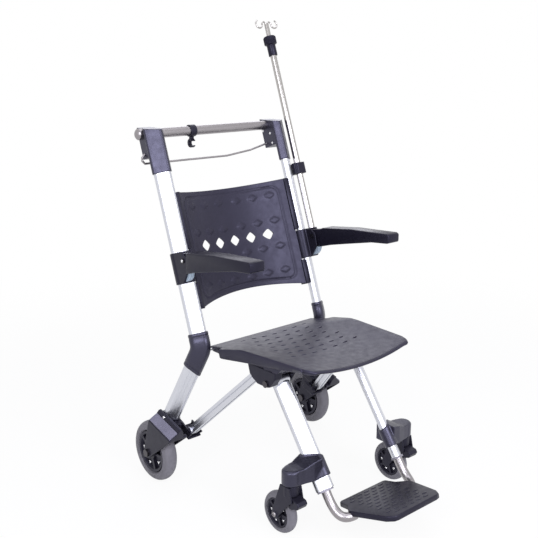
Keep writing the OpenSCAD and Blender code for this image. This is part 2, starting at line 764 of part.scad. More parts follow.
// Eye at the top of the leg, and the solid length of tube below it
leg_eye_d = 33;
leg_eye_half = leg_half - 1.5;
leg_solid = 25;
module front_leg() color(alloy) difference() {
    union() {
        aim(leg_end, leg_pivot) linear_extrude(front_leg_l) oval();
        rod_x(leg_pivot[0] - leg_eye_half, leg_pivot[0] + leg_eye_half, leg_pivot, leg_eye_d);
    }
    aim(leg_end, leg_pivot) translate([0, 0, -cut_over])
        linear_extrude(front_leg_l - leg_solid + cut_over) oval(-tube_wall);
    rod_x(0, far, leg_pivot, leg_pin_d + 2 * running_gap);
}

// Collars in the lower ends of the legs that guide the footrest tubes
bush_h = 5;
module leg_bushes() color(grey) for (s = [-1, 1]) on_side(s) aim(leg_end, leg_pivot)
    translate([0, 0, -bush_h]) linear_extrude(bush_h) difference() {
        oval();
        circle(d = foot_tube_d + 2 * running_gap);
    }

housing_r = 24;
housing_low = 150;
housing_high = 204;
stem_d = 12;
caster_grow = 5;
// The sleeve's run on the leg, the web from the sleeve to the housing and the stem's blind bore
sleeve_from = 30;
sleeve_l = 80;
web_high = housing_high - 10;
web_lap = 2;
web_front = 34;
web_rear = 30;
stem_bore_top = housing_high - 8;
module caster_bracket() color(black) difference() {
    union() {
        aim(leg_end, leg_pivot) translate([0, 0, sleeve_from]) linear_extrude(sleeve_l) oval(caster_grow);
        translate([0, 0, housing_low]) linear_extrude(web_high - housing_low)
            polygon([[leg_spacing / 2, swivel[1] - web_front], [swivel[0] + web_lap, swivel[1] - housing_r],
                     [swivel[0] + web_lap, swivel[1] + housing_r], [leg_spacing / 2, swivel[1] + web_rear]]);
        translate([swivel[0], swivel[1], housing_low])
            cylinder(r = housing_r, h = housing_high - housing_low);
    }
    aim(leg_end, leg_pivot) linear_extrude(far) oval(fixed_gap);
    translate([swivel[0], swivel[1], 0]) cylinder(d = stem_d + 2 * running_gap, h = stem_bore_top);
}

// Casters: a swivelling fork with its stem, a wheel and a brake lever

caster_hub_r = 40;
caster_hub_w = caster_wheel_w - 2;
caster_bolt_ring = 26;
caster_bolt_d = 7;
caster_axle_d = 8;
crown_r = 21;
crown_low = 122;
crown_gap = 1.5;
crown_high = housing_low - crown_gap;
stem_top = housing_high - 10;
caster_fork_gap = 2.5;
caster_fork_in = caster_wheel_w / 2 + caster_fork_gap;
caster_fork_t = 4;
caster_boss_r = 13;
caster_head_d = 16;
caster_head_h = 2;
brake_boss_r = 7;
module caster_fork() color(black) {
    translate([swivel[0], swivel[1], 0]) {
        translate([0, 0, crown_low]) cylinder(r = crown_r, h = crown_high - crown_low);
        translate([0, 0, crown_low]) cylinder(d = stem_d, h = stem_top - crown_low);
    }
    for (s = [-1, 1]) {
        x_mid = swivel[0] + s * (caster_fork_in + caster_fork_t / 2);
        across(x_mid - caster_fork_t / 2, x_mid + caster_fork_t / 2) {
            translate([caster_axle[1], caster_axle[2]]) circle(r = caster_boss_r);
            translate([brake_pivot[1], brake_pivot[2]]) circle(r = brake_boss_r);
            polygon(caster_cheek);
        }
        rod_x(x_mid - caster_fork_t / 2, x_mid + caster_fork_t / 2 + caster_head_h * s,
              caster_axle, caster_head_d);
    }
    rod_x(swivel[0] - caster_fork_in, swivel[0] + caster_fork_in, caster_axle, caster_axle_d);
    rod_x(swivel[0] - caster_fork_in - caster_fork_t, swivel[0] + caster_fork_in + caster_fork_t,
          brake_pivot, brake_pin_d);
}

module caster_tyre() color(grey)
    translate(caster_axle) tyre(caster_wheel_r, caster_wheel_w, caster_hub_r);
module caster_hub() color(black)
    translate(caster_axle) hub(caster_hub_r, caster_hub_w, caster_axle_d, caster_bolt_ring, caster_bolt_d);

brake_pin_d = 6;
brake_pivot = [swivel[0], swivel[1] - 18, crown_low - 8];
brake_gap = 0.6;
brake_half = caster_fork_in - brake_gap;
brake_root_r = 6.5;
brake_outline = [[0, brake_root_r], [-22, 2], [-27, -6], [-22, -16], [2, -24.5], [8, -23.3], [6, -2]];
caster_cheek = [[caster_axle[1] - caster_boss_r, caster_axle[2]], [brake_pivot[1], brake_pivot[2] - brake_boss_r],
                [brake_pivot[1] - brake_boss_r, brake_pivot[2]], [swivel[1] - 17, crown_high],
                [swivel[1] + 19, crown_high], [caster_axle[1] + 12, caster_axle[2] + 6]];
module caster_brake() color(black) difference() {
    across(swivel[0] - brake_half, swivel[0] + brake_half) translate([brake_pivot[1], brake_pivot[2]]) {
        circle(r = brake_root_r);
        polygon(brake_outline);
    }
    rod_x(0, far, brake_pivot, brake_pin_d + 2 * running_gap);
}

// Footrest: bent tubes that slide in the legs, and a plate that hinges between them

foot_inset = 12;
foot_out = 18;
foot_bend_r = 55;
foot_run = 44;
foot_in = 165;
leg_tilt = atan2(leg_pivot[1] - leg_end[1], leg_pivot[2] - leg_end[2]);
foot_start = [0, -sin(leg_tilt), -cos(leg_tilt)];
foot_finish = [-sin(foot_inset), -cos(foot_inset), 0];
foot_bend = acos(foot_start * foot_finish);
foot_normal = (foot_finish - foot_start * cos(foot_bend)) / sin(foot_bend);
foot_side = cross(foot_start, foot_normal);
foot_bend_at = leg_end + foot_start * foot_out;
foot_corner = foot_bend_at + foot_start * foot_bend_r * tan(foot_bend / 2);
foot_level_at = foot_corner + foot_finish * foot_bend_r * tan(foot_bend / 2);
foot_wall = 2;
// Places local x along the bend's normal, y along the tube and z across the bend
module foot_frame() multmatrix([
    [foot_normal[0], foot_start[0], -foot_side[0], foot_bend_at[0]],
    [foot_normal[1], foot_start[1], -foot_side[1], foot_bend_at[1]],
    [foot_normal[2], foot_start[2], -foot_side[2], foot_bend_at[2]],
    [0, 0, 0, 1]]) children();
// The bend is drawn slightly slimmer than the straight runs, and laps a little way into them
bend_slim = 0.4;
bend_lap = 1;
module foot_tube() color(steel) difference() {
    foot_frame() {
        rotate([90, 0, 0]) cylinder(d = foot_tube_d, h = foot_out + foot_in);
        translate([foot_bend_r, 0, 0]) rotate(180 - foot_bend - bend_lap)
            rotate_extrude(angle = foot_bend + 2 * bend_lap)
                translate([foot_bend_r, 0]) circle(d = foot_tube_d - bend_slim);
        translate([foot_bend_r, 0, 0]) rotate(-foot_bend) translate([-foot_bend_r, 0, 0])
            rotate([-90, 0, 0]) cylinder(d = foot_tube_d, h = foot_run);
    }
    foot_frame() translate([0, -foot_wall * 2, 0]) rotate([90, 0, 0])
        cylinder(d = foot_tube_d - 2 * foot_wall, h = far);
    rod_x(0, far, foot_hinge, foot_pin_d);
}

foot_pin_d = 8;
foot_pin_from = 14;
foot_pin_in = 22;
foot_pin_out = 11;
foot_hinge = [0, foot_level_at[1] - foot_pin_from, foot_level_at[2]];
module foot_pins() color(steel) for (s = [-1, 1]) on_side(s)
    rod_x(plate_back_half - foot_pin_in, foot_level_at[0] + foot_pin_out, foot_hinge, foot_pin_d);

plate_t = 12;
plate_rise = 9.5;
plate_back_half = 111.5;
plate_front_half = 84;
plate_back = 42;
plate_front = 118;
plate_corner = 20;
// Where the plate's straight sides begin and end, and its rear corner cuts
plate_side_y = [-10, 16];
plate_rear_cut = 22;
plate_bore_in = 40;
plate_side = [[plate_front_half - plate_corner, -plate_front], [plate_front_half, -plate_front + plate_corner],
              [plate_back_half, plate_side_y[0]], [plate_back_half, plate_side_y[1]],
              [plate_back_half - plate_rear_cut, plate_back]];
plate_far_side = [for (i = [len(plate_side) - 1 : -1 : 0]) [-plate_side[i][0], plate_side[i][1]]];
module footplate() color(black) difference() {
    translate(foot_hinge) rotate([-plate_rise, 0, 0]) translate([0, 0, -plate_t / 2])
        linear_extrude(plate_t) polygon(concat(plate_side, plate_far_side));
    for (s = [-1, 1]) on_side(s)
        rod_x(plate_back_half - plate_bore_in, far, foot_hinge, foot_pin_d + 2 * running_gap);
}

placed() on_side(-1) upright();  // upright_left
placed() on_side(1) upright();  // upright_right
placed() on_side(-1) elbow();  // elbow_left
placed() on_side(1) elbow();  // elbow_right
placed() on_side(-1) rear_leg();  // rear_leg_left
placed() on_side(1) rear_leg();  // rear_leg_right
placed() on_side(-1) rear_bracket();  // rear_bracket_left
placed() on_side(1) rear_bracket();  // rear_bracket_right
placed() rear_axles();
placed() on_side(-1) top_cap(false);  // top_cap_left
placed() on_side(1) top_cap(true);  // top_cap_right
placed() push_bar();
placed() bar_plugs();
placed() cap_screws();
placed() back_panel();
placed() on_side(-1) arm_bracket(false);  // arm_bracket_left
placed() on_side(1) arm_bracket(true);  // arm_bracket_right
placed() arm_stops();
placed() arm_pins();
placed() pole_tube();
placed() pole_clamp();
placed() strut_pins();
placed() seat_pins();
placed() on_side(-1) rear_tyre();  // rear_tyre_left
placed() on_side(-1) rear_hub();  // rear_hub_left
placed() on_side(1) rear_tyre();  // rear_tyre_right
placed() on_side(1) rear_hub();  // rear_hub_right
placed() seat_panel();
placed() on_side(-1) strut();  // strut_left
placed() on_side(1) strut();  // strut_right
placed() on_side(-1) leg_bracket();  // leg_bracket_left
placed() on_side(1) leg_bracket();  // leg_bracket_right
placed() cross_tube();
placed() leg_pins();
placed() on_side(-1) front_leg();  // front_leg_left
placed() on_side(1) front_leg();  // front_leg_right
placed() leg_bushes();
placed() on_side(-1) caster_bracket();  // caster_bracket_left
placed() on_side(1) caster_bracket();  // caster_bracket_right
placed() on_side(-1) foot_tube();  // foot_tube_left
placed() on_side(1) foot_tube();  // foot_tube_right
placed() foot_pins();
placed() footplate();
placed() on_side(-1) caster_fork();  // caster_fork_left
placed() on_side(1) caster_fork();  // caster_fork_right
placed() on_side(-1) caster_tyre();  // caster_tyre_left
placed() on_side(-1) caster_hub();  // caster_hub_left
placed() on_side(1) caster_tyre();  // caster_tyre_right
placed() on_side(1) caster_hub();  // caster_hub_right
placed() on_side(-1) caster_brake();  // caster_brake_left
placed() on_side(1) caster_brake();  // caster_brake_right
placed() on_side(-1) armrest();  // armrest_left
placed() on_side(1) armrest();  // armrest_right
placed() pole_rod();
placed() pole_hook();
placed() pole_collar();
placed() release_bail();
placed() bar_clip();
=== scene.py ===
"""Looks of the folding stair chair: finishes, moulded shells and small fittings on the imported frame."""
import json
import math

import bmesh
import bpy
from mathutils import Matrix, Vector


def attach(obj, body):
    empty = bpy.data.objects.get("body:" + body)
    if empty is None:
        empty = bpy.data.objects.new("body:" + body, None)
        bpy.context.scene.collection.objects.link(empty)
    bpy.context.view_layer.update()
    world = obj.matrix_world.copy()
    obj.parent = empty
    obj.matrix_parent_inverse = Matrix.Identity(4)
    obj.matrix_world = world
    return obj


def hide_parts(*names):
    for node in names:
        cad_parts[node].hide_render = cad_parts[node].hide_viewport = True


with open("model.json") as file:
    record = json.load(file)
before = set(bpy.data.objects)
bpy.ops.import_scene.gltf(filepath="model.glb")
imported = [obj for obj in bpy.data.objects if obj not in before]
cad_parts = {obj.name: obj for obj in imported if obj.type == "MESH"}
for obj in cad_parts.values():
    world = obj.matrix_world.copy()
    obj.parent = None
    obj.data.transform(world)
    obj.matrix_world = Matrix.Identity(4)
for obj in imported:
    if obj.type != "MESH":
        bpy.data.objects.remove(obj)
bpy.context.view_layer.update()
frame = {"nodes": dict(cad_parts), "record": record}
NODES = frame["nodes"]
SIDES = (("left", -1), ("right", 1))

# Millimetres, in the chair's own layout: x across, the sitter faces -y, z up from the floor
MM = 0.001
# The frame's origin is under the middle of its box, so the layout moves by this along y
Y_SHIFT = 4.55
KNEE = Vector((223, 138, 411))
WHEEL = Vector((298.5, 265, 87.5))
LEG_END = Vector((136, -259, 126))
LEG_PIVOT = Vector((136, -86, 368))
ARM_PIVOT = Vector((235, 177, 653))
CASTER_AXLE = Vector((210, -175, 55.5))
FOOT_HINGE = Vector((0, -328.44, 87.9))
RECLINE = math.radians(19.5)
WHEEL_TILT = math.atan2(WHEEL.y - KNEE.y, KNEE.z - WHEEL.z)
TUBE_TURN = math.radians(40)
TUBE_R = 12.3
TUBE_HALF = 11.7
TUBE_ARC = 14
POLE_X = 258
POLE_BACK = -12


# Points and directions

def metres(point):
    """A point of the layout in the frame's metres."""
    return Vector((point[0], point[1] + Y_SHIFT, point[2])) * MM


def on_back(x, y, s):
    """A point given across, behind and along the uprights, from the level of the knees."""
    return Vector((x, KNEE.y + y * math.cos(RECLINE) + s * math.sin(RECLINE),
                   KNEE.z - y * math.sin(RECLINE) + s * math.cos(RECLINE)))


def on_wheel(x, y, z):
    """A point given from the rear wheel's middle, with z along the rear leg's lean."""
    return WHEEL + Vector((x, y * math.cos(WHEEL_TILT) - z * math.sin(WHEEL_TILT),
                           y * math.sin(WHEEL_TILT) + z * math.cos(WHEEL_TILT)))


PARALLEL = 1e-6


def across_frame(direction):
    """Two axes square to a direction, the first as near to +x as it goes."""
    along = Vector(direction).normalized()
    first = Vector((1, 0, 0)) - along * along.x
    if first.length < PARALLEL:
        first = Vector((0, 1, 0))
    first.normalize()
    return first, along.cross(first)


def turns(count):
    """Angles of a full turn in equal steps."""
    return [2 * math.pi * k / count for k in range(count)]


# Shapes are (points, faces) pairs in millimetres

def merge(*shapes):
    points = []
    faces = []
    for shape_points, shape_faces in shapes:
        start = len(points)
        points += list(shape_points)
        faces += [[start + i for i in face] for face in shape_faces]
    return points, faces


def mirrored(shape):
    points, faces = shape
    return [Vector((-p[0], p[1], p[2])) for p in points], [list(reversed(face)) for face in faces]


def on_side(shape, side):
    return shape if side > 0 else mirrored(shape)


def sided(point, side):
    return Vector((side * point[0], point[1], point[2]))


def loft(rings, closed=False):
    """Skins rings of equal length; the ends are filled unless the rings close on themselves."""
    count = len(rings[0])
    points = [Vector(p) for ring in rings for p in ring]
    faces = []
    last = len(rings) if closed else len(rings) - 1
    for i in range(last):
        a = i * count
        b = (i + 1) % len(rings) * count
        for k in range(count):
            n = (k + 1) % count
            faces.append([a + k, a + n, b + n, b + k])
    if not closed:
        faces.append(list(reversed(range(count))))
        faces.append(list(range((len(rings) - 1) * count, len(rings) * count)))
    return points, faces


def lathe(profile, centre, axis, segments=64):
    """Turns (radius, height) points about an axis; radius 0 at an end closes it."""
    first, second = across_frame(axis)
    along = Vector(axis).normalized()
    points = []
    rings = []
    for radius, height in profile:
        base = Vector(centre) + along * height
        if radius == 0:
            rings.append([len(points)])
            points.append(base)
            continue
        ring = []
        for turn in turns(segments):
            ring.append(len(points))
            points.append(base + (first * math.cos(turn) + second * math.sin(turn)) * radius)
        rings.append(ring)
    faces = []
    for low, high in zip(rings, rings[1:]):
        for k in range(segments):
            n = (k + 1) % segments
            if len(low) == 1:
                faces.append([low[0], high[n], high[k]])
            elif len(high) == 1:
                faces.append([low[k], low[n], high[0]])
            else:
                faces.append([low[k], low[n], high[n], high[k]])
    return points, faces


def prism(outline, x_from, x_to):
    """A (y, z) outline carried across the chair."""
    return loft([[(x, y, z) for y, z in outline] for x in (x_from, x_to)])


def stadium(grow, arc=TUBE_ARC, lines=()):
    """The oval tube's section; lines are (place, half width, depth) grooves in its flat sides."""
    radius = TUBE_R + grow
    outline = []
    for side in (1, -1):
        for k in range(arc + 1):
            turn = math.radians(-90 + 180 * k / arc)
            outline.append((side * (TUBE_HALF + radius * math.cos(turn)), side * radius * math.sin(turn)))
        for place, half, depth in lines:
            for step, drop in ((half, 0), (half / 2, depth), (-half / 2, depth), (-half, 0)):
                outline.append((side * (place + step), side * (radius - drop)))
    c = math.cos(TUBE_TURN)
    s = math.sin(TUBE_TURN)
    return [(c * a - s * b, s * a + c * b) for a, b in outline]


def ring_at(centre, direction, section):
    first, second = across_frame(direction)
    return [Vector(centre) + first * a + second * b for a, b in section]


def bar(start, end, section):
    run = Vector(end) - Vector(start)
    return loft([ring_at(start, run, section), ring_at(end, run, section)])


# A button head's section from its recess to its rim, as shares of the radius and of the height
SCREW_SECTION = ((0, 0.35), (0.36, 0.35), (0.42, 1), (0.74, 0.9), (0.94, 0.55), (1, 0.15))
SCREW_SINK = 0.5
SCREW_SEGMENTS = 20


def screw(centre, axis, diameter, height):
    """A button-head screw with a round driver recess."""
    r = diameter / 2
    profile = [(r * out, height * up) for out, up in SCREW_SECTION]
    profile += [(r, -SCREW_SINK), (0, -SCREW_SINK)]
    return lathe(profile, centre, axis, SCREW_SEGMENTS)


# Pieces

def finish_mesh(mesh, sharp):
    """Smooth faces, with the edges that turn by more than sharp degrees kept crisp."""
    work = bmesh.new()
    work.from_mesh(mesh)
    bmesh.ops.recalc_face_normals(work, faces=work.faces)
    limit = math.radians(sharp)
    for face in work.faces:
        face.smooth = True
    for edge in work.edges:
        edge.smooth = len(edge.link_faces) == 2 and edge.calc_face_angle(0) < limit
    work.to_mesh(mesh)
    work.free()


def make_mesh(name, shape, bevel=0.0, steps=2, bevel_angle=30, sharp=40):
    points, faces = shape
    mesh = bpy.data.meshes.new(name)
    mesh.from_pydata([metres(p) for p in points], [], faces)
    if bevel:
        work = bmesh.new()
        work.from_mesh(mesh)
        bmesh.ops.recalc_face_normals(work, faces=work.faces)
        limit = math.radians(bevel_angle)
        edges = [e for e in work.edges if len(e.link_faces) == 2 and e.calc_face_angle(0) > limit]
        bmesh.ops.bevel(work, geom=edges, offset=bevel * MM, segments=steps, profile=0.5,
                        affect="EDGES", clamp_overlap=True)
        work.to_mesh(mesh)
        work.free()
    finish_mesh(mesh, sharp)
    return mesh


def place(name, mesh, finish, body, slot, *nodes):
    thing = bpy.data.objects.new(name, mesh)
    bpy.context.scene.collection.objects.link(thing)
    mesh.materials.clear()
    mesh.materials.append(finish)
    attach(thing, body)
    if nodes:
        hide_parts(*nodes)
    return thing


def piece(name, shape, finish, body, slot, *nodes, **options):
    return place(name, make_mesh(name, shape, **options), finish, body, slot, *nodes)


def applied(thing):
    """A plain mesh of a thing with its modifiers."""
    graph = bpy.context.evaluated_depsgraph_get()
    return bpy.data.meshes.new_from_object(thing.evaluated_get(graph))


ROUNDING = 0.5
ROUNDED_SHARP = 60


def rounded(name, source, voxel, passes):
    """A mesh made one skin, with every edge rounded as a moulding's are."""
    thing = bpy.data.objects.new(name, source)
    bpy.context.scene.collection.objects.link(thing)
    remesh = thing.modifiers.new("remesh", "REMESH")
    remesh.mode = "VOXEL"
    remesh.voxel_size = voxel * MM
    rounding = thing.modifiers.new("rounding", "SMOOTH")
    rounding.factor = ROUNDING
    rounding.iterations = passes
    mesh = applied(thing)
    mesh.name = name
    bpy.data.objects.remove(thing)
    finish_mesh(mesh, ROUNDED_SHARP)
    return mesh


def moulded(node, body, finish, slot, voxel=1.4, passes=4):
    """The node's solid as a moulding."""
    name = node + "_shell"
    return place(name, rounded(name, NODES[node].data.copy(), voxel, passes), finish, body, slot, node)


def moulded_shape(name, shape, finish, body, slot, *nodes, voxel=1.3, passes=6):
    mesh = rounded(name, make_mesh(name + "_raw", shape), voxel, passes)
    return place(name, mesh, finish, body, slot, *nodes)


def cut(mesh, cutter_shape):
    """Takes a cutter's shape out of a mesh."""
    thing = bpy.data.objects.new("cut_body", mesh)
    tool = bpy.data.objects.new("cut_tool", make_mesh("cut_tool", cutter_shape))
    for one in (thing, tool):
        bpy.context.scene.collection.objects.link(one)
    boolean = thing.modifiers.new("cut", "BOOLEAN")
    boolean.operation = "DIFFERENCE"
    boolean.solver = "EXACT"
    boolean.object = tool
    result = applied(thing)
    bpy.data.objects.remove(thing)
    bpy.data.objects.remove(tool)
    return result


# Materials

class Finish:
    """A material under construction: a principled shader and the nodes that feed it."""

    def __init__(self, name):
        self.material = bpy.data.materials.new(name)
        self.material.use_nodes = True
        self.tree = self.material.node_tree
        self.shader = self.tree.nodes["Principled BSDF"]
        self.place = self.add("ShaderNodeTexCoord").outputs["Object"]

    def add(self, kind):
        return self.tree.nodes.new(kind)

    def link(self, output, target):
        self.tree.links.new(output, target)

    def constant(self, socket, value):
        self.shader.inputs[socket].default_value = value

    def noise(self, scale, detail=3.0, stretch=None):
        made = self.add("ShaderNodeTexNoise")
        made.inputs["Scale"].default_value = scale
        made.inputs["Detail"].default_value = detail
        source = self.place
        if stretch:
            mapping = self.add("ShaderNodeMapping")
            mapping.inputs["Scale"].default_value = stretch
            self.link(source, mapping.inputs["Vector"])
            source = mapping.outputs["Vector"]
        self.link(source, made.inputs["Vector"])
        return made.outputs["Fac"]

    def ramp(self, source, low, high, start=0.3, end=0.7):
        """Colours or grey values between two places of a 0 to 1 signal."""
        made = self.add("ShaderNodeValToRGB")
        for stop, position, value in zip(made.color_ramp.elements, (start, end), (low, high)):
            stop.position = position
            stop.color = (value, value, value, 1) if isinstance(value, float) else (*value, 1)
        self.link(source, made.inputs["Fac"])
        return made.outputs["Color"]

    def colour(self, source, low, high):
        self.link(self.ramp(source, low, high), self.shader.inputs["Base Color"])

    def roughness(self, source, low, high):
        self.link(self.ramp(source, low, high), self.shader.inputs["Roughness"])

    def bump(self, source, strength, distance_mm):
        made = self.add("ShaderNodeBump")
        made.inputs["Strength"].default_value = strength
        made.inputs["Distance"].default_value = distance_mm * MM
        self.link(source, made.inputs["Height"])
        self.link(made.outputs["Normal"], self.shader.inputs["Normal"])


def shade(colour, factor):
    return tuple(min(1.0, c * factor) for c in colour)


# The mouldings gleam a little towards violet
SHEEN = (0.72, 0.71, 1.0, 1)
# Scales of the noises behind tone, gloss and grain, and how far tone and gloss stray
PLASTIC_CLOUD = 18
PLASTIC_TONE = (0.88, 1.14)
PLASTIC_GLOSS = 60
PLASTIC_STRAY = (-0.05, 0.06)
GRAIN_DETAIL = 2.0
GRAIN_DEEP = 0.12
METAL_SCALE = 1.0
METAL_DETAIL = 4.0
METAL_TONE = (0.94, 1.04)
METAL_BUMP = (0.06, 0.05)
RUBBER_CLOUD = 40
RUBBER_TONE = (0.9, 1.1)
RUBBER_GLOSS = 90
RUBBER_ROUGH = (0.5, 0.68)
RUBBER_GRAIN = 700
RUBBER_BUMP = (0.2, 0.15)
RUBBER_SPECULAR = 0.4


def tones(colour, pair):
    return [shade(colour, factor) for factor in pair]


def plastic(name, colour, rough, grain_scale=1400, grain=0.2, specular=0.35):
    """Moulded plastic with a fine grain and a slightly uneven gloss."""
    made = Finish(name)
    made.colour(made.noise(PLASTIC_CLOUD), *tones(colour, PLASTIC_TONE))
    made.roughness(made.noise(PLASTIC_GLOSS), *[rough + stray for stray in PLASTIC_STRAY])
    made.bump(made.noise(grain_scale, GRAIN_DETAIL), grain, GRAIN_DEEP)
    made.constant("Specular IOR Level", specular)
    made.constant("Specular Tint", SHEEN)
    return made.material


def metal(name, colour, rough, streak, spread=0.05):
    """Bare metal with draw lines along one axis."""
    made = Finish(name)
    lines = made.noise(METAL_SCALE, METAL_DETAIL, streak)
    made.colour(lines, *tones(colour, METAL_TONE))
    made.roughness(lines, rough - spread, rough + spread)
    made.bump(lines, *METAL_BUMP)
    made.constant("Metallic", 1.0)
    return made.material


def rubber(name, colour):
    made = Finish(name)
    made.colour(made.noise(RUBBER_CLOUD), *tones(colour, RUBBER_TONE))
    made.roughness(made.noise(RUBBER_GLOSS), *RUBBER_ROUGH)
    made.bump(made.noise(RUBBER_GRAIN, GRAIN_DETAIL), *RUBBER_BUMP)
    made.constant("Specular IOR Level", RUBBER_SPECULAR)
    return made.material


# How the draw lines' noise is squeezed along each axis
ALONG_Z = (900, 900, 14)
ALONG_X = (14, 900, 900)
ROUND = (300, 300, 300)
alloy = metal("satin_alloy", (0.64, 0.65, 0.705), 0.34, ALONG_Z)
chrome = metal("polished_tube", (0.44, 0.425, 0.415), 0.18, ALONG_Z, 0.03)
bar_steel = metal("brushed_bar", (0.33, 0.312, 0.325), 0.32, ALONG_X)
dark_steel = metal("dark_steel", (0.085, 0.08, 0.09), 0.3, ROUND)
bolt_steel = metal("bolt_steel", (0.80, 0.80, 0.82), 0.22, ROUND)
black = plastic("black_moulding", (0.0110, 0.0102, 0.0168), 0.36, specular=0.32)
shell = plastic("seat_moulding", (0.0175, 0.0160, 0.0270), 0.4, 1100, 0.3, 0.4)
grip = plastic("grip_moulding", (0.0088, 0.0080, 0.0150), 0.33, specular=0.26)
gloss = plastic("gloss_moulding", (0.0110, 0.0102, 0.0168), 0.36, specular=0.8)
tread_grey = plastic("tread_moulding", (0.175, 0.170, 0.225), 0.42, specular=0.4)
blue = plastic("stop_moulding", (0.36, 0.44, 0.52), 0.4)
bush_grey = plastic("bush_moulding", (0.26, 0.25, 0.28), 0.45)
tyre_grey = rubber("tyre_rubber", (0.155, 0.15, 0.17))

SLOT_FINISH = {"alloy": alloy, "chrome": chrome, "steel": bolt_steel, "tyre": tyre_grey, "shell": shell,
               "grip": grip, "black": black, "bush": bush_grey, "stop": blue}
NODE_FINISH = {"push_bar": bar_steel, "bar_plugs": bar_steel, "release_bail": bar_steel,
               "leg_pins": dark_steel, "strut_pins": black,
               "rear_axles": dark_steel, "arm_pins": dark_steel}


def dress_frame():
    """Gives every node of the frame its finish."""
    slots = {sub["node"]: sub["material_slot"] for sub in frame["record"]["subparts"]}
    for node, thing in NODES.items():
        finish = NODE_FINISH.get(node, SLOT_FINISH[slots[node]])
        thing.data.materials.clear()
        thing.data.materials.append(finish)


# Frame tubes and elbows

TUBE_LINES = ((4.5, 1.0, 0.5), (-4.5, 1.0, 0.5))
UPRIGHT_TOP = 584
TUBE_STOP = 15
REAR_LEG_START = 104


def frame_tubes():
    section = stadium(0, lines=TUBE_LINES)
    leg_dir = (KNEE - WHEEL).normalized()
    for name, side in SIDES:
        upright = bar(on_back(KNEE.x, 0, TUBE_STOP), on_back(KNEE.x, 0, UPRIGHT_TOP), section)
        piece("upright_tube_" + name, on_side(upright, side), alloy, "frame", "alloy", "upright_" + name)
        leg = bar(WHEEL + leg_dir * REAR_LEG_START, KNEE - leg_dir * TUBE_STOP, section)
        piece("rear_leg_tube_" + name, on_side(leg, side), alloy, "frame", "alloy", "rear_leg_" + name)


ELBOW_GROW = 4.0
# The lip and the seam line at each end: how far in from the end, and how far proud of the tube
ELBOW_LIP = ((0, 2.2), (2, ELBOW_GROW), (9, ELBOW_GROW), (9.8, 3.2), (11.4, 3.2), (12.2, ELBOW_GROW))
ELBOW_LOW_RUN = 26
ELBOW_UP = 44
ELBOW_DOWN = 72
ELBOW_BEND = 17
ELBOW_STEPS = 10
ELBOW_SHARP = 50
# Slant of the elbow's lower end: its outer side stops higher than its inner side
ELBOW_SLANT = 0.43


def elbows():
    up = Vector((0, math.sin(RECLINE), math.cos(RECLINE)))
    down = (WHEEL - KNEE).normalized()
    rings = []
    for back, grow in (*ELBOW_LIP, (ELBOW_LOW_RUN, ELBOW_GROW)):
        section = stadium(grow)
        ring = ring_at(KNEE + down * (ELBOW_DOWN - back), -down, section)
        rings.append([p - down * ELBOW_SLANT * a for p, (a, _b) in zip(ring, section)])
    for k in range(ELBOW_STEPS + 1):
        t = k / ELBOW_STEPS
        point = KNEE + down * ELBOW_BEND * (1 - t) ** 2 + up * ELBOW_BEND * t ** 2
        rings.append(ring_at(point, -down * (1 - t) + up * t, stadium(ELBOW_GROW)))
    for back, grow in reversed(ELBOW_LIP):
        rings.append(ring_at(KNEE + up * (ELBOW_UP - back), up, stadium(grow)))
    shape = loft(rings)
    for name, side in SIDES:
        piece("elbow_shell_" + name, on_side(shape, side), gloss, "frame", "black", "elbow_" + name,
              sharp=ELBOW_SHARP)


# Rear brackets

FENDER_REAR = Vector((0, 26, 103))
FENDER_FRONT = Vector((0, -80, 115))
# The cover over each rear tyre, across the wheel: a sloped tread, then a wall beside the leg
COVER_SECTION = ((29, -4), (29, 1), (6, 19), (2, 29), (-6, 30), (-13, 16), (-18, -4))
TREAD_LOW = (28.4, 2.4)
TREAD_HIGH = (7, 19)
TREAD_T = 1.0
TREAD_SINK = 2
# Where the tread starts along the fender, and its share of the fender's length
TREAD_START = 0.02
TREAD_SHARE = 0.96
TREAD_RIBS = 18
TREAD_RIB_SHARE = 0.5
TREAD_RIB_HIGH = 0.7
# Place over the fender, way it faces, and head of the screw in the cover's wall
WALL_SCREW = (0.3, 4.5, 24)
WALL_SCREW_WAY = (1, 0, 0.3)
WALL_SCREW_HEAD = (8, 2.5)


def on_fender(share, x, rise):
    """A point over the fender: share runs from its rear end to its front end."""
    spot = FENDER_REAR.lerp(FENDER_FRONT, share)
    return on_wheel(x, spot.y, spot.z + rise)


LEG_SOCKET_TOP = 126


def rear_brackets():
    """The forks over the rear wheels, with the leg's socket ending at the cover's wall."""
    for name, side in SIDES:
        middle = metres(sided(WHEEL, side))
        up = (metres(sided(KNEE, side)) - middle).normalized()
        fork = moulded("rear_bracket_" + name, "frame", black, "black", voxel=1.5, passes=3)
        for vertex in fork.data.vertices:
            over = (vertex.co - middle).dot(up) - LEG_SOCKET_TOP * MM
            if over > 0:
                vertex.co -= up * over


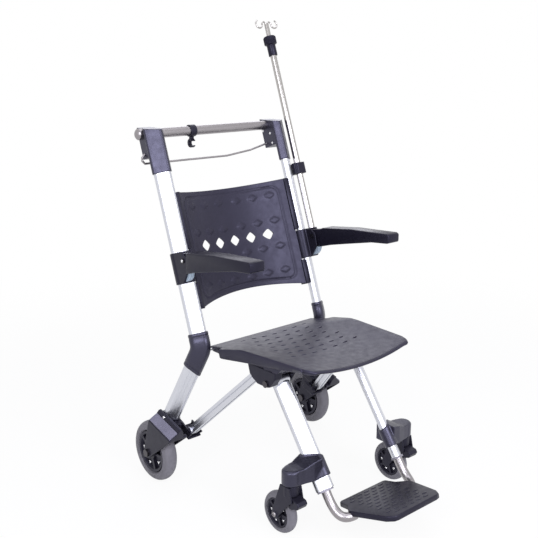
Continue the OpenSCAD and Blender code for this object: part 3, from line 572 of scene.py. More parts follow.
def fender_covers():
    cover = loft([[on_fender(share, x, rise) for x, rise in COVER_SECTION] for share in (0, 1)])
    tread = []
    low_x, low = TREAD_LOW
    high_x, high = TREAD_HIGH
    step = TREAD_SHARE / TREAD_RIBS
    for k in range(TREAD_RIBS):
        start = TREAD_START + TREAD_SHARE * k / TREAD_RIBS
        for last, top in ((start + step, TREAD_T),
                          (start + step * TREAD_RIB_SHARE, TREAD_T + TREAD_RIB_HIGH)):
            tread.append(loft([[on_fender(share, low_x, low - TREAD_SINK),
                                on_fender(share, high_x, high - TREAD_SINK),
                                on_fender(share, high_x, high + top),
                                on_fender(share, low_x, low + top)]
                               for share in (start, last)]))
    wall_screw = screw(on_fender(*WALL_SCREW), WALL_SCREW_WAY, *WALL_SCREW_HEAD)
    for name, side in SIDES:
        moulded_shape("fender_cover_" + name, on_side(cover, side), black, "frame", "black",
                      voxel=1.2, passes=3)
        piece("fender_tread_" + name, on_side(merge(*tread), side), tread_grey, "frame", "black")
        piece("fender_screw_" + name, on_side(wall_screw, side), bolt_steel, "frame", "steel")


# Wheels

# Kind, middle, radius, width, hub radius, radius of the bolt ring, bolt head
WHEELS = (("rear", WHEEL, 87.5, 42, 61, 40, 11), ("caster", CASTER_AXLE, 55.5, 28, 40, 25, 8))
TYRE_SEGMENTS = 96
TYRE_BEAD = 3
# Shares of half the tyre's width: the bead's width, the shoulder's depth and width, and the round tread
BEAD_WIDE = (0.72, 0.9)
SHOULDER = ((1.05, 1), (0.95, 0.93))
CROWN_HIGH = 0.72
CROWN_WIDE = 0.97
CROWN_TURN = 70
CROWN_STEPS = 8
HUB_INSET = 4
HUB_SPOKES = 5
# One side of the hub from its bore to its rim, as shares of its radius and of half its width
HUB_SECTION = ((0.16, 1), (0.34, 1), (0.38, 0.55), (0.8, 0.5), (0.86, 0.92), (0.97, 0.95), (1, 0.8))
SPOKE_RUN = (0.3, 0.88)
SPOKE_HALF = 0.07
SPOKE_HIGH = 0.9
# Where the bolt heads sit, as a share of the hub's width, and their height as a share of their size
BOLT_OUT = 0.26
BOLT_HIGH = 0.5


def tyre_shape(centre, r, w, hub_r):
    half = w / 2
    wall = [(hub_r, half * BEAD_WIDE[0]), (hub_r + TYRE_BEAD, half * BEAD_WIDE[1])]
    wall += [(r - half * deep, half * wide) for deep, wide in SHOULDER]
    section = [(radius, -h) for radius, h in wall]
    for k in range(CROWN_STEPS + 1):
        turn = math.radians(CROWN_TURN * (2 * k / CROWN_STEPS - 1))
        section.append((r - half * CROWN_HIGH * (1 - math.cos(turn)), half * CROWN_WIDE * math.sin(turn)))
    section += reversed(wall)
    rings = []
    for turn in turns(TYRE_SEGMENTS):
        rings.append([Vector(centre) + Vector((h, radius * math.cos(turn), radius * math.sin(turn)))
                      for radius, h in section])
    return loft(rings, closed=True)


def hub_shape(centre, r, w):
    half = w / 2
    side_section = [(r * out, half * wide) for out, wide in HUB_SECTION]
    profile = [(radius, -h) for radius, h in side_section] + side_section[::-1]
    shapes = [lathe(profile + profile[:1], centre, (1, 0, 0))]
    for k in range(HUB_SPOKES):
        turn = 2 * math.pi * (k + 0.5) / HUB_SPOKES
        way = Vector((0, math.cos(turn), math.sin(turn)))
        wide = Vector((0, -way.z, way.y)) * r * SPOKE_HALF
        start, end = [Vector(centre) + way * r * share for share in SPOKE_RUN]
        corners = (start - wide, start + wide, end + wide, end - wide)
        for side in (-1, 1):
            face = half * SPOKE_HIGH * side
            shapes.append(loft([[c + Vector((x, 0, 0)) for c in corners] for x in (0, face)]))
    return merge(*shapes)


def hub_bolts(centre, w, ring, size):
    shapes = []
    for turn in turns(HUB_SPOKES):
        for side in (-1, 1):
            out = Vector((side * w * BOLT_OUT, ring * math.cos(turn), ring * math.sin(turn)))
            shapes.append(screw(Vector(centre) + out, (side, 0, 0), size, size * BOLT_HIGH))
    return merge(*shapes)


def wheels():
    for name, side in SIDES:
        for kind, centre, r, w, hub_r, ring, size in WHEELS:
            body = kind + "_wheel_" + name
            tyre = tyre_shape(centre, r, w, hub_r)
            piece(kind + "_tyre_ring_" + name, on_side(tyre, side), tyre_grey, body, "tyre",
                  kind + "_tyre_" + name)
            hub = hub_shape(centre, hub_r, w - HUB_INSET)
            piece(kind + "_hub_disc_" + name, on_side(hub, side), black, body, "black", kind + "_hub_" + name)
            bolts = hub_bolts(centre, w - HUB_INSET, ring, size)
            piece(kind + "_hub_bolts_" + name, on_side(bolts, side), bolt_steel, body, "steel")


# Seat

SEAT_REAR = 150
SEAT_FRONT = -262
SEAT_FRONT_R = 1900
SEAT_FRONT_HALF = 188
SEAT_CORNER = 38
SEAT_NOSE = 9
SEAT_EDGE = 5
SEAT_TUCK = 7
SEAT_CREASE = 4
SEAT_SIDE = ((150, 193), (112, 193), (80, 198), (70, 217), (-224, 188))
SEAT_RIM = ((150, 404), (140, 411), (117, 415.5), (-10, 445), (-40, 448.5), (-236, 450), (-254, 447))
SEAT_BELOW = ((150, 397), (112, 396.5), (60, 400), (-50, 415), (-165, 428), (-215, 436), (-262, 436))
SEAT_KEEL = ((10, 409), (-8, 406.4), (-126, 406.4), (-150, 426))
SEAT_KEEL_HALF = 184
DISH_LOW = 426
DISH_Y = -120
DISH_SLOPE = math.tan(math.radians(2.8))
DISH_R = 888
BELLY_T = 9
SEAT_COLUMNS = 64
SEAT_ROWS = 110
NOSE_TURN = 84
NOSE_STEPS = 6
# The side edge: steps of its rounding, the most it takes of the side, and the lower edge's swell
EDGE_STEPS = 3
EDGE_SHARE = 0.4
EDGE_OUT = 2.5
EDGE_RISE = 0.08
DASH_ROWS = 7
DASH_SPREAD = 3
DASH_FIRST = 92
DASH_PITCH = (38, 34)
DASH_HALF = (11, 3.6, 1.8)
DASH_REACH = 118
DASH_STEPS = 8
DASH_SIDES = 12
MOULD_SHARP = 38


def along(points, y):
    """Value of a list of (y, value) points, in falling y, at a place."""
    if y >= points[0][0]:
        return points[0][1]
    for (y0, z0), (y1, z1) in zip(points, points[1:]):
        if y >= y1:
            return z0 + (z1 - z0) * (y0 - y) / (y0 - y1)
    return points[-1][1]


def seat_dish(x, y):
    return DISH_LOW + DISH_R - math.sqrt(DISH_R ** 2 - x * x) + (DISH_Y - y) * DISH_SLOPE


def seat_top(x, y):
    """Height of the sitting face: the dish, up to a soft crease at the rim."""
    rim = along(SEAT_RIM, y)
    dish = seat_dish(x, y)
    blend = max(SEAT_CREASE - abs(rim - dish), 0) / SEAT_CREASE
    return min(rim, dish) - blend * blend * SEAT_CREASE / 4


def seat_under(x, y):
    low = min(along(SEAT_BELOW, y), seat_dish(x, y) - BELLY_T)
    if abs(x) < SEAT_KEEL_HALF and SEAT_KEEL[-1][0] < y < SEAT_KEEL[0][0]:
        low = min(low, along(SEAT_KEEL, y))
    return low


def seat_front_at(x):
    front = SEAT_FRONT + x * x / (2 * SEAT_FRONT_R)
    over = abs(x) - (SEAT_FRONT_HALF - SEAT_CORNER)
    if over > 0:
        front = max(front, SEAT_FRONT + SEAT_CORNER - math.sqrt(max(0, SEAT_CORNER ** 2 - over ** 2)))
    return front


def seat_ring(share, roll):
    """One line across the seat and back underneath; roll turns the front edge over."""
    top = []
    under = []
    for k in range(SEAT_COLUMNS + 1):
        t = math.sin(math.pi / 2 * (-1 + 2 * k / SEAT_COLUMNS))
        nose = seat_front_at(t * SEAT_FRONT_HALF) + SEAT_NOSE
        y = SEAT_REAR + (nose - SEAT_REAR) * share
        half = along(SEAT_SIDE, y)
        x_top = t * (half - SEAT_EDGE)
        x_under = t * (half - SEAT_TUCK)
        high = seat_top(t * half, y)
        low = seat_under(x_under, y)
        middle = (high + low) / 2
        y -= SEAT_NOSE * math.sin(roll)
        flat = math.cos(roll)
        top.append((x_top, y, middle + (high - middle) * flat))
        under.append((x_under, y, middle + (low - middle) * flat))
    left = edge_round(top[0], under[0], -1)
    right = edge_round(top[-1], under[-1], 1)
    return top + right + under[::-1] + left[::-1]


def edge_round(high, low, way):
    """The rounded upper edge and the side down to the lower one."""
    tall = high[2] - low[2]
    drop = min(SEAT_EDGE, tall * EDGE_SHARE)
    points = []
    for k in range(1, EDGE_STEPS + 1):
        turn = math.radians(90 * k / EDGE_STEPS)
        points.append((high[0] + way * SEAT_EDGE * math.sin(turn), high[1],
                       high[2] - drop * (1 - math.cos(turn))))
    points.append((low[0] + way * EDGE_OUT, low[1], low[2] + tall * EDGE_RISE))
    return points


def seat_dashes():
    """Rows of short hollows across the sitting face."""
    shapes = []
    long, wide, deep = DASH_HALF
    for row in range(DASH_ROWS):
        y = DASH_FIRST - DASH_PITCH[1] * row
        for step in range(-DASH_SPREAD, DASH_SPREAD + 1):
            x = DASH_PITCH[0] * (step + (0.5 if row % 2 else 0))
            if abs(x) > DASH_REACH:
                continue
            z = seat_top(x, y)
            rings = []
            for k in range(1, DASH_STEPS):
                t = -1 + 2 * k / DASH_STEPS
                size = math.sqrt(1 - t * t)
                rings.append([(x + long * t, y + wide * size * math.cos(a), z + deep * size * math.sin(a))
                              for a in turns(DASH_SIDES)])
            shapes.append(loft(rings))
    return merge(*shapes)


def seat():
    rings = [seat_ring(k / SEAT_ROWS, 0) for k in range(SEAT_ROWS + 1)]
    rings += [seat_ring(1, math.radians(NOSE_TURN * k / NOSE_STEPS)) for k in range(1, NOSE_STEPS + 1)]
    mesh = make_mesh("seat_moulding", loft(rings))
    mesh = cut(mesh, seat_dashes())
    mesh.name = "seat_moulding"
    finish_mesh(mesh, MOULD_SHARP)
    place("seat_moulding", mesh, shell, "seat", "shell", "seat_panel")


# Back panel

BACK_HALF = 194
BACK_LOW = 105
BACK_HIGH = 430
BACK_RISE = 25
BACK_HOLLOW = 51
BACK_FRONT = -10
BACK_T = 6
BACK_R = (BACK_HALF ** 2 + BACK_HOLLOW ** 2) / (2 * BACK_HOLLOW)
BACK_BOTTOM_R = (BACK_HALF ** 2 + BACK_RISE ** 2) / (2 * BACK_RISE)
BACK_COLUMNS = 150
BACK_ROWS = 122
BACK_REAR_STEP = 6
BACK_EDGE = 1.6
BACK_EDGE_ANGLE = 60
DIAMOND_HALF = 15.5
DIAMOND_POWER = 1.2
DIAMOND_FLARE = 1.3
DIAMOND_PITCH = 58
DIAMOND_SPREAD = 2
DIAMOND_S = 275
DIAMOND_STEPS = 32
# How far the hole's cutter reaches in front of the panel's face and behind it
DIAMOND_REACH = (12, 30)
BUMP_X = (33, 88, 142)
BUMP_S = (389, 313, 235, 162)
BUMP_SIZE = (17, 11)
BUMP_HIGH = 2.0
BUMP_POWER = 1.3
BUMP_FLAT = 3
GROOVE_X = 170
GROOVE_LOW = 128
GROOVE_HIGH = 414
GROOVE_CORNER = 24
GROOVE_DEEP = 1.8
GROOVE_HALF = 2.6


def back_bottom(x):
    return BACK_LOW + BACK_RISE - (BACK_BOTTOM_R - math.sqrt(BACK_BOTTOM_R ** 2 - x * x))


def back_relief(x, s):
    """How far the front face stands proud of the plain curve: lozenges out, the border groove in."""
    relief = 0.0
    for bx in BUMP_X:
        for bs in BUMP_S:
            reach = ((abs(abs(x) - bx) / BUMP_SIZE[0]) ** BUMP_POWER
                     + (abs(s - bs) / BUMP_SIZE[1]) ** BUMP_POWER)
            if reach < 1:
                relief = max(relief, BUMP_HIGH * (1 - reach ** BUMP_FLAT))
    lift = back_bottom(x) - back_bottom(GROOVE_X)
    middle = (GROOVE_HIGH + GROOVE_LOW + lift) / 2
    half = (GROOVE_HIGH - GROOVE_LOW - lift) / 2
    dx = abs(x) - GROOVE_X + GROOVE_CORNER
    ds = abs(s - middle) - half + GROOVE_CORNER
    edge = math.hypot(max(dx, 0), max(ds, 0)) + min(max(dx, ds), 0) - GROOVE_CORNER
    if abs(edge) < GROOVE_HALF * 2:
        relief -= GROOVE_DEEP * math.exp(-(edge / GROOVE_HALF) ** 2)
    return relief


def back_face(x, s, depth):
    centre = BACK_FRONT + BACK_HOLLOW - BACK_R
    turn = math.asin(x / BACK_R)
    radius = BACK_R + depth
    return on_back(radius * math.sin(turn), centre + radius * math.cos(turn), s)


def diamond(spot):
    """A hole through the panel, diamond-shaped with soft corners, that widens to the back."""
    outline = []
    for turn in turns(DIAMOND_STEPS):
        way = (math.cos(turn), math.sin(turn))
        size = (abs(way[0]) ** DIAMOND_POWER + abs(way[1]) ** DIAMOND_POWER) ** (1 / DIAMOND_POWER)
        reach = DIAMOND_HALF / size
        outline.append((reach * way[0], reach * way[1]))
    front = BACK_FRONT + BACK_HOLLOW - BACK_R + math.sqrt(BACK_R ** 2 - spot ** 2)
    rings = []
    for y, size in ((front - DIAMOND_REACH[0], 1.0), (front, 1.0),
                    (front + BACK_T, DIAMOND_FLARE), (front + DIAMOND_REACH[1], DIAMOND_FLARE)):
        rings.append([on_back(spot + size * x, y, DIAMOND_S + size * s) for x, s in outline])
    return loft(rings)


def back_panel():
    rings = []
    for i in range(BACK_COLUMNS + 1):
        x = -BACK_HALF + 2 * BACK_HALF * i / BACK_COLUMNS
        low = back_bottom(x)
        ring = []
        for j in range(BACK_ROWS + 1):
            s = low + (BACK_HIGH - low) * j / BACK_ROWS
            ring.append(back_face(x, s, -back_relief(x, s)))
        for j in range(BACK_ROWS, -1, -BACK_REAR_STEP):
            s = low + (BACK_HIGH - low) * j / BACK_ROWS
            ring.append(back_face(x, s, BACK_T))
        rings.append(ring)
    mesh = make_mesh("back_moulding", loft(rings), bevel=BACK_EDGE, bevel_angle=BACK_EDGE_ANGLE)
    holes = [diamond(k * DIAMOND_PITCH) for k in range(-DIAMOND_SPREAD, DIAMOND_SPREAD + 1)]
    mesh = cut(mesh, merge(*holes))
    mesh.name = "back_moulding"
    finish_mesh(mesh, MOULD_SHARP)
    place("back_moulding", mesh, shell, "frame", "shell", "back_panel")


CHANNEL_RUNS = ((105, 178), (272, 430))
CHANNEL_BLOCK = ((190, -13), (199, -15.5), (204, -12), (203, 14), (192, 16))
# The strip's wrap round the upright, as turns about the tube's middle
CHANNEL_WRAP = (165, 222)
CHANNEL_SKIN = 2.6
CHANNEL_GAP = 0.2
CHANNEL_SHORT = 2
CHANNEL_EDGE = 1.2
WRAP_ARC = 60
WRAP_STEPS = 22


def turned_part(grow, start, end):
    """Points of the tube's section, grown, between two turns about its middle."""
    outline = stadium(grow, WRAP_ARC)
    picked = []
    for k in range(WRAP_STEPS + 1):
        want = math.radians(start + (end - start) * k / WRAP_STEPS)
        way = (math.cos(want), math.sin(want))
        picked.append(max(outline, key=lambda p: (p[0] * way[0] + p[1] * way[1]) / math.hypot(*p)))
    return picked


def back_channels():
    """Strips that hold the panel to the uprights, in two lengths above and below the armrest."""
    wrap = turned_part(CHANNEL_SKIN, *CHANNEL_WRAP) + turned_part(CHANNEL_GAP, *CHANNEL_WRAP)[::-1]
    shapes = []
    for low, high in CHANNEL_RUNS:
        shapes.append(loft([[on_back(x, y, s) for x, y in CHANNEL_BLOCK] for s in (low, high)]))
        shapes.append(loft([[on_back(KNEE.x + x, y, s) for x, y in wrap]
                            for s in (low + CHANNEL_SHORT, high - CHANNEL_SHORT)]))
    for name, side in SIDES:
        piece("back_channel_" + name, on_side(merge(*shapes), side), black, "frame", "black",
              bevel=CHANNEL_EDGE)


# Armrests

ARM_IN = 220.5
ARM_OUT = 265.5
ARM_TONGUE = 8
ARM_BODY = ((140, 679), (134, 685), (70, 693), (20, 699.5), (-40, 703), (-118, 708), (-124, 706), (-126, 702),
            (-126, 684), (-122, 681), (-64, 675), (-18, 665), (37, 653), (95, 640), (140, 627))
ARM_EDGE = 4
# The tongue in the bracket: its round end about the pin, and its corners in the armrest
ROOT_R = 20
ROOT_TURN = (70, -90)
ROOT_STEPS = 12
ROOT_TOP = (138, 681)
ROOT_LOW = ((153, 628), (138, 631))
ROOT_EDGE = 1.5


def armrests():
    root = []
    for k in range(ROOT_STEPS + 1):
        turn = math.radians(ROOT_TURN[0] + (ROOT_TURN[1] - ROOT_TURN[0]) * k / ROOT_STEPS)
        root.append((ARM_PIVOT.y + ROOT_R * math.cos(turn), ARM_PIVOT.z + ROOT_R * math.sin(turn)))
    tongue = prism([ROOT_TOP, *root, *ROOT_LOW], ARM_PIVOT.x - ARM_TONGUE, ARM_PIVOT.x + ARM_TONGUE)
    body = prism(ARM_BODY, ARM_IN, ARM_OUT)
    for name, side in SIDES:
        carrier = "armrest_" + name
        piece("arm_body_" + name, on_side(body, side), grip, carrier, "grip", "armrest_" + name,
              bevel=ARM_EDGE, steps=4)
        piece("arm_root_" + name, on_side(tongue, side), grip, carrier, "grip", bevel=ROOT_EDGE)


# Footrest

PLATE_RISE = math.radians(12.5)
PLATE_DROP = 6
PLATE_T = 14
# Half of the plate's outline, from its front edge to its rear edge
PLATE_HALF = ((72, -121), (84, -118), (97, -100), (116, -8), (116, 6), (92, 34), (87, 66), (80, 70))
PLATE_EDGE = 3
PLATE_EDGE_ANGLE = 50
RIB_ROWS = 11
RIB_SPREAD = 3
RIB_FIRST = 20
RIB_PITCH = (27, 15.5)
RIB_SIZE = (10, 3.4)
RIB_SIDES = 16
RIB_SHARP = 60
# A rib's rings from its foot up: share of its size, and height over the plate
RIB_STEPS = ((1, -0.4), (0.96, 0.5), (0.75, 0.95), (0.4, 1.1))
# How far out the rows reach: at the front edge, the growth behind it, and the most
REACH_FRONT = 72
REACH_GROWTH = 0.2
REACH_MOST = 78


def on_plate(x, y, z):
    """A point of the footplate, from its hinge, as it lies tipped up at the front."""
    z -= PLATE_DROP
    return FOOT_HINGE + Vector((x, y * math.cos(PLATE_RISE) + z * math.sin(PLATE_RISE),
                                -y * math.sin(PLATE_RISE) + z * math.cos(PLATE_RISE)))


def footplate():
    outline = list(PLATE_HALF) + [(-x, y) for x, y in reversed(PLATE_HALF)]
    slab = loft([[on_plate(x, y, z) for x, y in outline] for z in (-PLATE_T / 2, PLATE_T / 2)])
    piece("footplate_slab", slab, black, "footplate", "black", "footplate",
          bevel=PLATE_EDGE, steps=3, bevel_angle=PLATE_EDGE_ANGLE)
    front = PLATE_HALF[0][1]
    long, wide = RIB_SIZE
    ribs = []
    for row in range(RIB_ROWS):
        y = front + RIB_FIRST + RIB_PITCH[1] * row
        reach = min(REACH_FRONT + (y - front) * REACH_GROWTH, REACH_MOST)
        for step in range(-RIB_SPREAD, RIB_SPREAD + 1):
            x = RIB_PITCH[0] * (step + (0.5 if row % 2 else 0))
            if abs(x) > reach:
                continue
            rings = [[on_plate(x + long * f * math.cos(a), y + wide * f * math.sin(a), PLATE_T / 2 + h)
                      for a in turns(RIB_SIDES)] for f, h in RIB_STEPS]
            ribs.append(loft(rings))
    piece("footplate_grip", merge(*ribs), black, "footplate", "black", sharp=RIB_SHARP)


FOOT_TUBE_R = 12.3
# The straight run in the leg and below it, then the pulls that shape the bend, and its end from the hinge
FOOT_IN = 165
FOOT_OUT = 18
FOOT_PULL = 56
FOOT_END = (98, 0, -16)
FOOT_TURN = 40
FOOT_STEPS = 28
FOOT_SEGMENTS = 32


def sweep(path, radius):
    """A round tube along a list of points."""
    side = Vector((1, 0, 0))
    rings = []
    for k, spot in enumerate(path):
        run = (path[min(k + 1, len(path) - 1)] - path[max(k - 1, 0)]).normalized()
        side = (side - run * side.dot(run)).normalized()
        other = run.cross(side)
        rings.append([spot + (side * math.cos(a) + other * math.sin(a)) * radius
                      for a in turns(FOOT_SEGMENTS)])
    return loft(rings)


def foot_tubes():
    """The sliding tubes, bent forward and then in, to end inside the footplate's sides."""
    run = (LEG_END - LEG_PIVOT).normalized()
    bend = LEG_END + run * FOOT_OUT
    pull = bend + run * FOOT_PULL
    end = FOOT_HINGE + Vector(FOOT_END)
    turn = end + Vector((FOOT_TURN, 0, 0))
    path = [LEG_END - run * FOOT_IN]
    for k in range(FOOT_STEPS + 1):
        t = k / FOOT_STEPS
        path.append(bend * (1 - t) ** 3 + pull * 3 * t * (1 - t) ** 2
                    + turn * 3 * t * t * (1 - t) + end * t ** 3)
    shape = sweep(path, FOOT_TUBE_R)
    for name, side in SIDES:
        nodes = ("foot_tube_" + name, "foot_pins") if side > 0 else ("foot_tube_" + name,)
        piece("foot_bend_" + name, on_side(shape, side), bar_steel, "footrest", "chrome", *nodes)


# Front legs and mouldings

LEG_GAP = 12
KNUCKLE_R = 16.5
KNUCKLE_BORE_R = 5.05
KNUCKLE_HALF = 21
ROUND_SEGMENTS = 48


def front_legs():
    run = (LEG_PIVOT - LEG_END).normalized()
    leg = bar(LEG_END, LEG_PIVOT - run * LEG_GAP, stadium(0, lines=TUBE_LINES))
    profile = [(KNUCKLE_BORE_R, -KNUCKLE_HALF), (KNUCKLE_R, -KNUCKLE_HALF),
               (KNUCKLE_R, KNUCKLE_HALF), (KNUCKLE_BORE_R, KNUCKLE_HALF)]
    knuckle = lathe(profile + profile[:1], LEG_PIVOT, (1, 0, 0), ROUND_SEGMENTS)
    for name, side in SIDES:
        piece("front_leg_tube_" + name, on_side(merge(leg, knuckle), side), alloy, "front_frame", "alloy",
              "front_leg_" + name)


CAP_LOW = 488
CAP_TOP = 988
CAP_LONG = 52.5
CAP_SHORT = 29
CAP_CORNER = 8
# The block behind each cap's sleeve, given across and behind the upright
CAP_BLOCK = ((197, -3), (243, -3), (243, 47.5), (197, 47.5))
CAP_BLOCK_LOW = 538


def turned_box(long, short, corner, arc=6):
    """A rounded rectangle turned with the tubes."""
    outline = []
    for side_x, side_y, start in ((1, 1, 0), (-1, 1, 90), (-1, -1, 180), (1, -1, 270)):
        for k in range(arc + 1):
            turn = math.radians(start + 90 * k / arc)
            outline.append((side_x * (long / 2 - corner) + corner * math.cos(turn),
                            side_y * (short / 2 - corner) + corner * math.sin(turn)))
    c = math.cos(TUBE_TURN)
    s = math.sin(TUBE_TURN)
    return [(c * a - s * b, s * a + c * b) for a, b in outline]


def to_level(outline, low, level):
    """A section of the back frame carried from a place along the uprights up to a level cut."""
    high = [on_back(x, y, (level - KNEE.z + y * math.sin(RECLINE)) / math.cos(RECLINE)) for x, y in outline]
    return loft([[on_back(x, y, low) for x, y in outline], high])


def top_caps():
    sleeve = [(KNEE.x + a, b) for a, b in turned_box(CAP_LONG, CAP_SHORT, CAP_CORNER)]
    shape = merge(to_level(sleeve, CAP_LOW, CAP_TOP), to_level(CAP_BLOCK, CAP_BLOCK_LOW, CAP_TOP))
    for name, side in SIDES:
        moulded_shape("cap_shell_" + name, on_side(shape, side), gloss, "frame", "grip", "top_cap_" + name)


SLEEVE_FROM = 30
SLEEVE_TO = 90
SLEEVE_GROW = 5
SLEEVE_SLANT = 0.43
SWIVEL = (210, -213)
BOSS_R = 24
BOSS_CHAMFER = 5
BOSS_LOW = 150.5
BOSS_HIGH = 191
# The web from the leg to the caster's boss: x, front y, rear y, top z
CASTER_WEB = ((134, -248, -183, 208), (160, -246, -186, 203), (186, -240, -188, 192), (212, -236, -190, 190))


def caster_brackets():
    run = (LEG_PIVOT - LEG_END).normalized()
    section = stadium(SLEEVE_GROW)
    low = ring_at(LEG_END + run * SLEEVE_FROM, run, section)
    high = [p + run * SLEEVE_SLANT * a for p, (a, _b) in
            zip(ring_at(LEG_END + run * SLEEVE_TO, run, section), section)]
    web = loft([[(x, front, BOSS_LOW), (x, rear, BOSS_LOW), (x, rear, top), (x, front, top)]
                for x, front, rear, top in CASTER_WEB])
    boss = lathe([(0, BOSS_LOW), (BOSS_R, BOSS_LOW), (BOSS_R, BOSS_HIGH - BOSS_CHAMFER),
                  (BOSS_R - BOSS_CHAMFER, BOSS_HIGH), (0, BOSS_HIGH)],
                 (*SWIVEL, 0), (0, 0, 1), ROUND_SEGMENTS)
    shape = merge(loft([low, high]), web, boss)
    for name, side in SIDES:
        moulded_shape("caster_bracket_shell_" + name, on_side(shape, side), gloss, "front_frame", "black",
                      "caster_bracket_" + name, voxel=1.5, passes=10)


STEM_TOP = 184
AXLE_HEAD_OUT = 22.6
AXLE_HEAD = (13, 3.5)


def caster_forks():
    bolt = screw(CASTER_AXLE + Vector((AXLE_HEAD_OUT, 0, 0)), (1, 0, 0), *AXLE_HEAD)
    for name, side in SIDES:
        body = "caster_swivel_" + name
        fork = moulded("caster_fork_" + name, body, black, "black", voxel=1.2)
        for vertex in fork.data.vertices:
            vertex.co.z = min(vertex.co.z, STEM_TOP * MM)
        piece("caster_bolt_" + name, on_side(bolt, side), bar_steel, body, "steel")


def mouldings():
    for name, _side in SIDES:
        moulded("arm_bracket_" + name, "frame", black, "black")
        moulded("leg_bracket_" + name, "strut_frame", black, "black", passes=5)
        moulded("caster_brake_" + name, "caster_brake_" + name, black, "black", voxel=1.0)
    moulded("pole_clamp", "frame", black, "black", voxel=1.0, passes=3)
    moulded("bar_clip", "bar_clip", black, "black", voxel=0.8, passes=3)
    moulded("arm_stops", "frame", blue, "stop", voxel=1.0, passes=3)


# Infusion pole collar

COLLAR_LOW = 808
# Radius and height: the sleeve on the tube, the knob, and the bores for the tube and the rod
COLLAR_SECTION = ((10.06, 0), (12.5, 0), (13.5, 1.5), (13.5, 33), (15, 34), (18.4, 36), (18.6, 58), (17, 60),
                  (9, 60.5), (7.06, 60.5), (7.06, 31), (10.06, 31), (10.06, 0))
KNURLS = 28
KNURL_RING = 18.4
KNURL_SECTION = ((0, 37), (1.1, 37.5), (1.1, 56.5), (0, 57))
KNURL_SIDES = 8


def pole_collar():
    low = on_back(POLE_X, POLE_BACK, COLLAR_LOW)
    axis = (0, math.sin(RECLINE), math.cos(RECLINE))
    shapes = [lathe(COLLAR_SECTION, low, axis)]
    first, second = across_frame(axis)
    for turn in turns(KNURLS):
        spot = low + (first * math.cos(turn) + second * math.sin(turn)) * KNURL_RING
        shapes.append(lathe(KNURL_SECTION, spot, axis, KNURL_SIDES))
    piece("collar_knob", merge(*shapes), grip, "pole_collar", "grip", "pole_collar")


# Fasteners

PIN_SCREW_OUT = 16.2
PIN_SCREW_HEAD = (8, 2.5)


def fasteners():
    """A bright screw head on each armrest's pin."""
    pin_screw = screw(ARM_PIVOT + Vector((PIN_SCREW_OUT, 0, 0)), (1, 0, 0), *PIN_SCREW_HEAD)
    for name, side in SIDES:
        piece("frame_screws_" + name, on_side(pin_screw, side), bolt_steel, "frame", "steel")


# Studio

CAMERA = Vector((-1470, -1599, 1193.5))
LOOK = Vector((0.6295, 0.7344, -0.2538))
LENS = 55.77
SENSOR = 36
LAMP_COLOUR = (0.91, 0.91, 1.0)
# Name, place and target in metres, width in metres, power in watts
LAMPS = (("key", (-0.1, -2.55, 1.75), (0, 0, 0.6), 1.5, 56),
         ("side", (-2.0, -1.2, 1.75), (0, 0, 0.6), 1.3, 36),
         ("back", (1.5, 2.1, 1.7), (0, 0, 0.5), 1.6, 12),
         ("top", (0.0, 0.0, 3.0), (0, 0, 0.5), 1.8, 24))


def studio():
    scene = bpy.context.scene
    scene.view_settings.view_transform = "Standard"
    lens = bpy.data.cameras.new("camera")
    lens.lens = LENS
    lens.sensor_width = SENSOR
    camera = bpy.data.objects.new("camera", lens)
    camera.location = metres(CAMERA)
    camera.rotation_mode = "QUATERNION"
    camera.rotation_quaternion = LOOK.to_track_quat("-Z", "Y")
    scene.collection.objects.link(camera)
    scene.camera = camera
    backdrop(scene)
    ground(scene)
    for name, spot, target, size, power in LAMPS:
        lamp = bpy.data.lights.new(name, "AREA")
        lamp.size = size
        lamp.energy = power
        lamp.color = LAMP_COLOUR
        holder = bpy.data.objects.new(name, lamp)
        holder.location = spot
        holder.visible_camera = False
        holder.rotation_mode = "QUATERNION"
        holder.rotation_quaternion = (Vector(target) - Vector(spot)).to_track_quat("-Z", "Y")
        scene.collection.objects.link(holder)


AMBIENT = 0.4
FLOOR_GLOW = 0.92
FLOOR_FADE = (0.9, 2.6)
FLOOR_REACH = 40
FLOOR_COLOUR = (0.86, 0.86, 0.87, 1)


def seen_directly(tree):
    """1 for rays that show the background itself: from the camera, or off gloss, or through glass."""
    path = tree.nodes.new("ShaderNodeLightPath")
    total = path.outputs["Is Camera Ray"]
    for name in ("Is Glossy Ray", "Is Transmission Ray"):
        added = tree.nodes.new("ShaderNodeMath")
        added.operation = "MAXIMUM"
        tree.links.new(total, added.inputs[0])
        tree.links.new(path.outputs[name], added.inputs[1])
        total = added.outputs[0]
    return total


def backdrop(scene):
    """White where it is seen, dimmer as a light."""
    world = bpy.data.worlds.new("studio")
    world.use_nodes = True
    scene.world = world
    tree = world.node_tree
    back = tree.nodes["Background"]
    strength = tree.nodes.new("ShaderNodeMapRange")
    strength.inputs["To Min"].default_value = AMBIENT
    strength.inputs["To Max"].default_value = 1.0
    tree.links.new(seen_directly(tree), strength.inputs["Value"])
    back.inputs["Color"].default_value = (1, 1, 1, 1)
    tree.links.new(strength.outputs["Result"], back.inputs["Strength"])


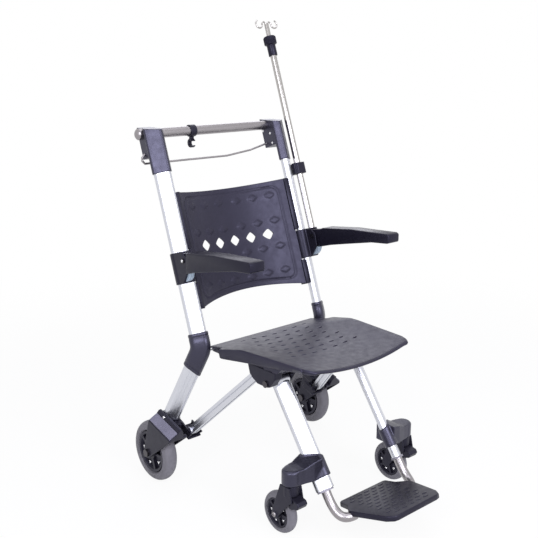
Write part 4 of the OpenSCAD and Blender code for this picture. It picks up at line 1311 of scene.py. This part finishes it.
def ground(scene):
    """A pale floor that takes soft shadows near the chair and fades to white."""
    mesh = bpy.data.meshes.new("floor")
    corners = [(x * FLOOR_REACH, y * FLOOR_REACH, 0) for x, y in ((-1, -1), (1, -1), (1, 1), (-1, 1))]
    mesh.from_pydata(corners, [], [(0, 1, 2, 3)])
    floor = bpy.data.objects.new("floor", mesh)
    scene.collection.objects.link(floor)
    finish = bpy.data.materials.new("floor")
    finish.use_nodes = True
    tree = finish.node_tree
    tree.nodes.clear()
    matt = tree.nodes.new("ShaderNodeBsdfDiffuse")
    matt.inputs["Color"].default_value = FLOOR_COLOUR
    glow = tree.nodes.new("ShaderNodeEmission")
    mix = tree.nodes.new("ShaderNodeMixShader")
    spot = tree.nodes.new("ShaderNodeTexCoord")
    distance = tree.nodes.new("ShaderNodeVectorMath")
    distance.operation = "LENGTH"
    tree.links.new(spot.outputs["Object"], distance.inputs[0])
    fade = tree.nodes.new("ShaderNodeMapRange")
    fade.interpolation_type = "SMOOTHSTEP"
    fade.inputs["From Min"].default_value = FLOOR_FADE[0]
    fade.inputs["From Max"].default_value = FLOOR_FADE[1]
    fade.inputs["To Min"].default_value = FLOOR_GLOW
    tree.links.new(distance.outputs["Value"], fade.inputs["Value"])
    share = tree.nodes.new("ShaderNodeMath")
    share.operation = "MULTIPLY"
    tree.links.new(fade.outputs["Result"], share.inputs[1])
    tree.links.new(seen_directly(tree), share.inputs[0])
    tree.links.new(share.outputs[0], mix.inputs["Fac"])
    tree.links.new(matt.outputs[0], mix.inputs[1])
    tree.links.new(glow.outputs[0], mix.inputs[2])
    out = tree.nodes.new("ShaderNodeOutputMaterial")
    tree.links.new(mix.outputs[0], out.inputs["Surface"])
    mesh.materials.append(finish)


def build():
    dress_frame()
    frame_tubes()
    elbows()
    rear_brackets()
    fender_covers()
    wheels()
    seat()
    back_panel()
    back_channels()
    armrests()
    footplate()
    foot_tubes()
    front_legs()
    top_caps()
    caster_brackets()
    caster_forks()
    mouldings()
    pole_collar()
    fasteners()
    studio()


build()
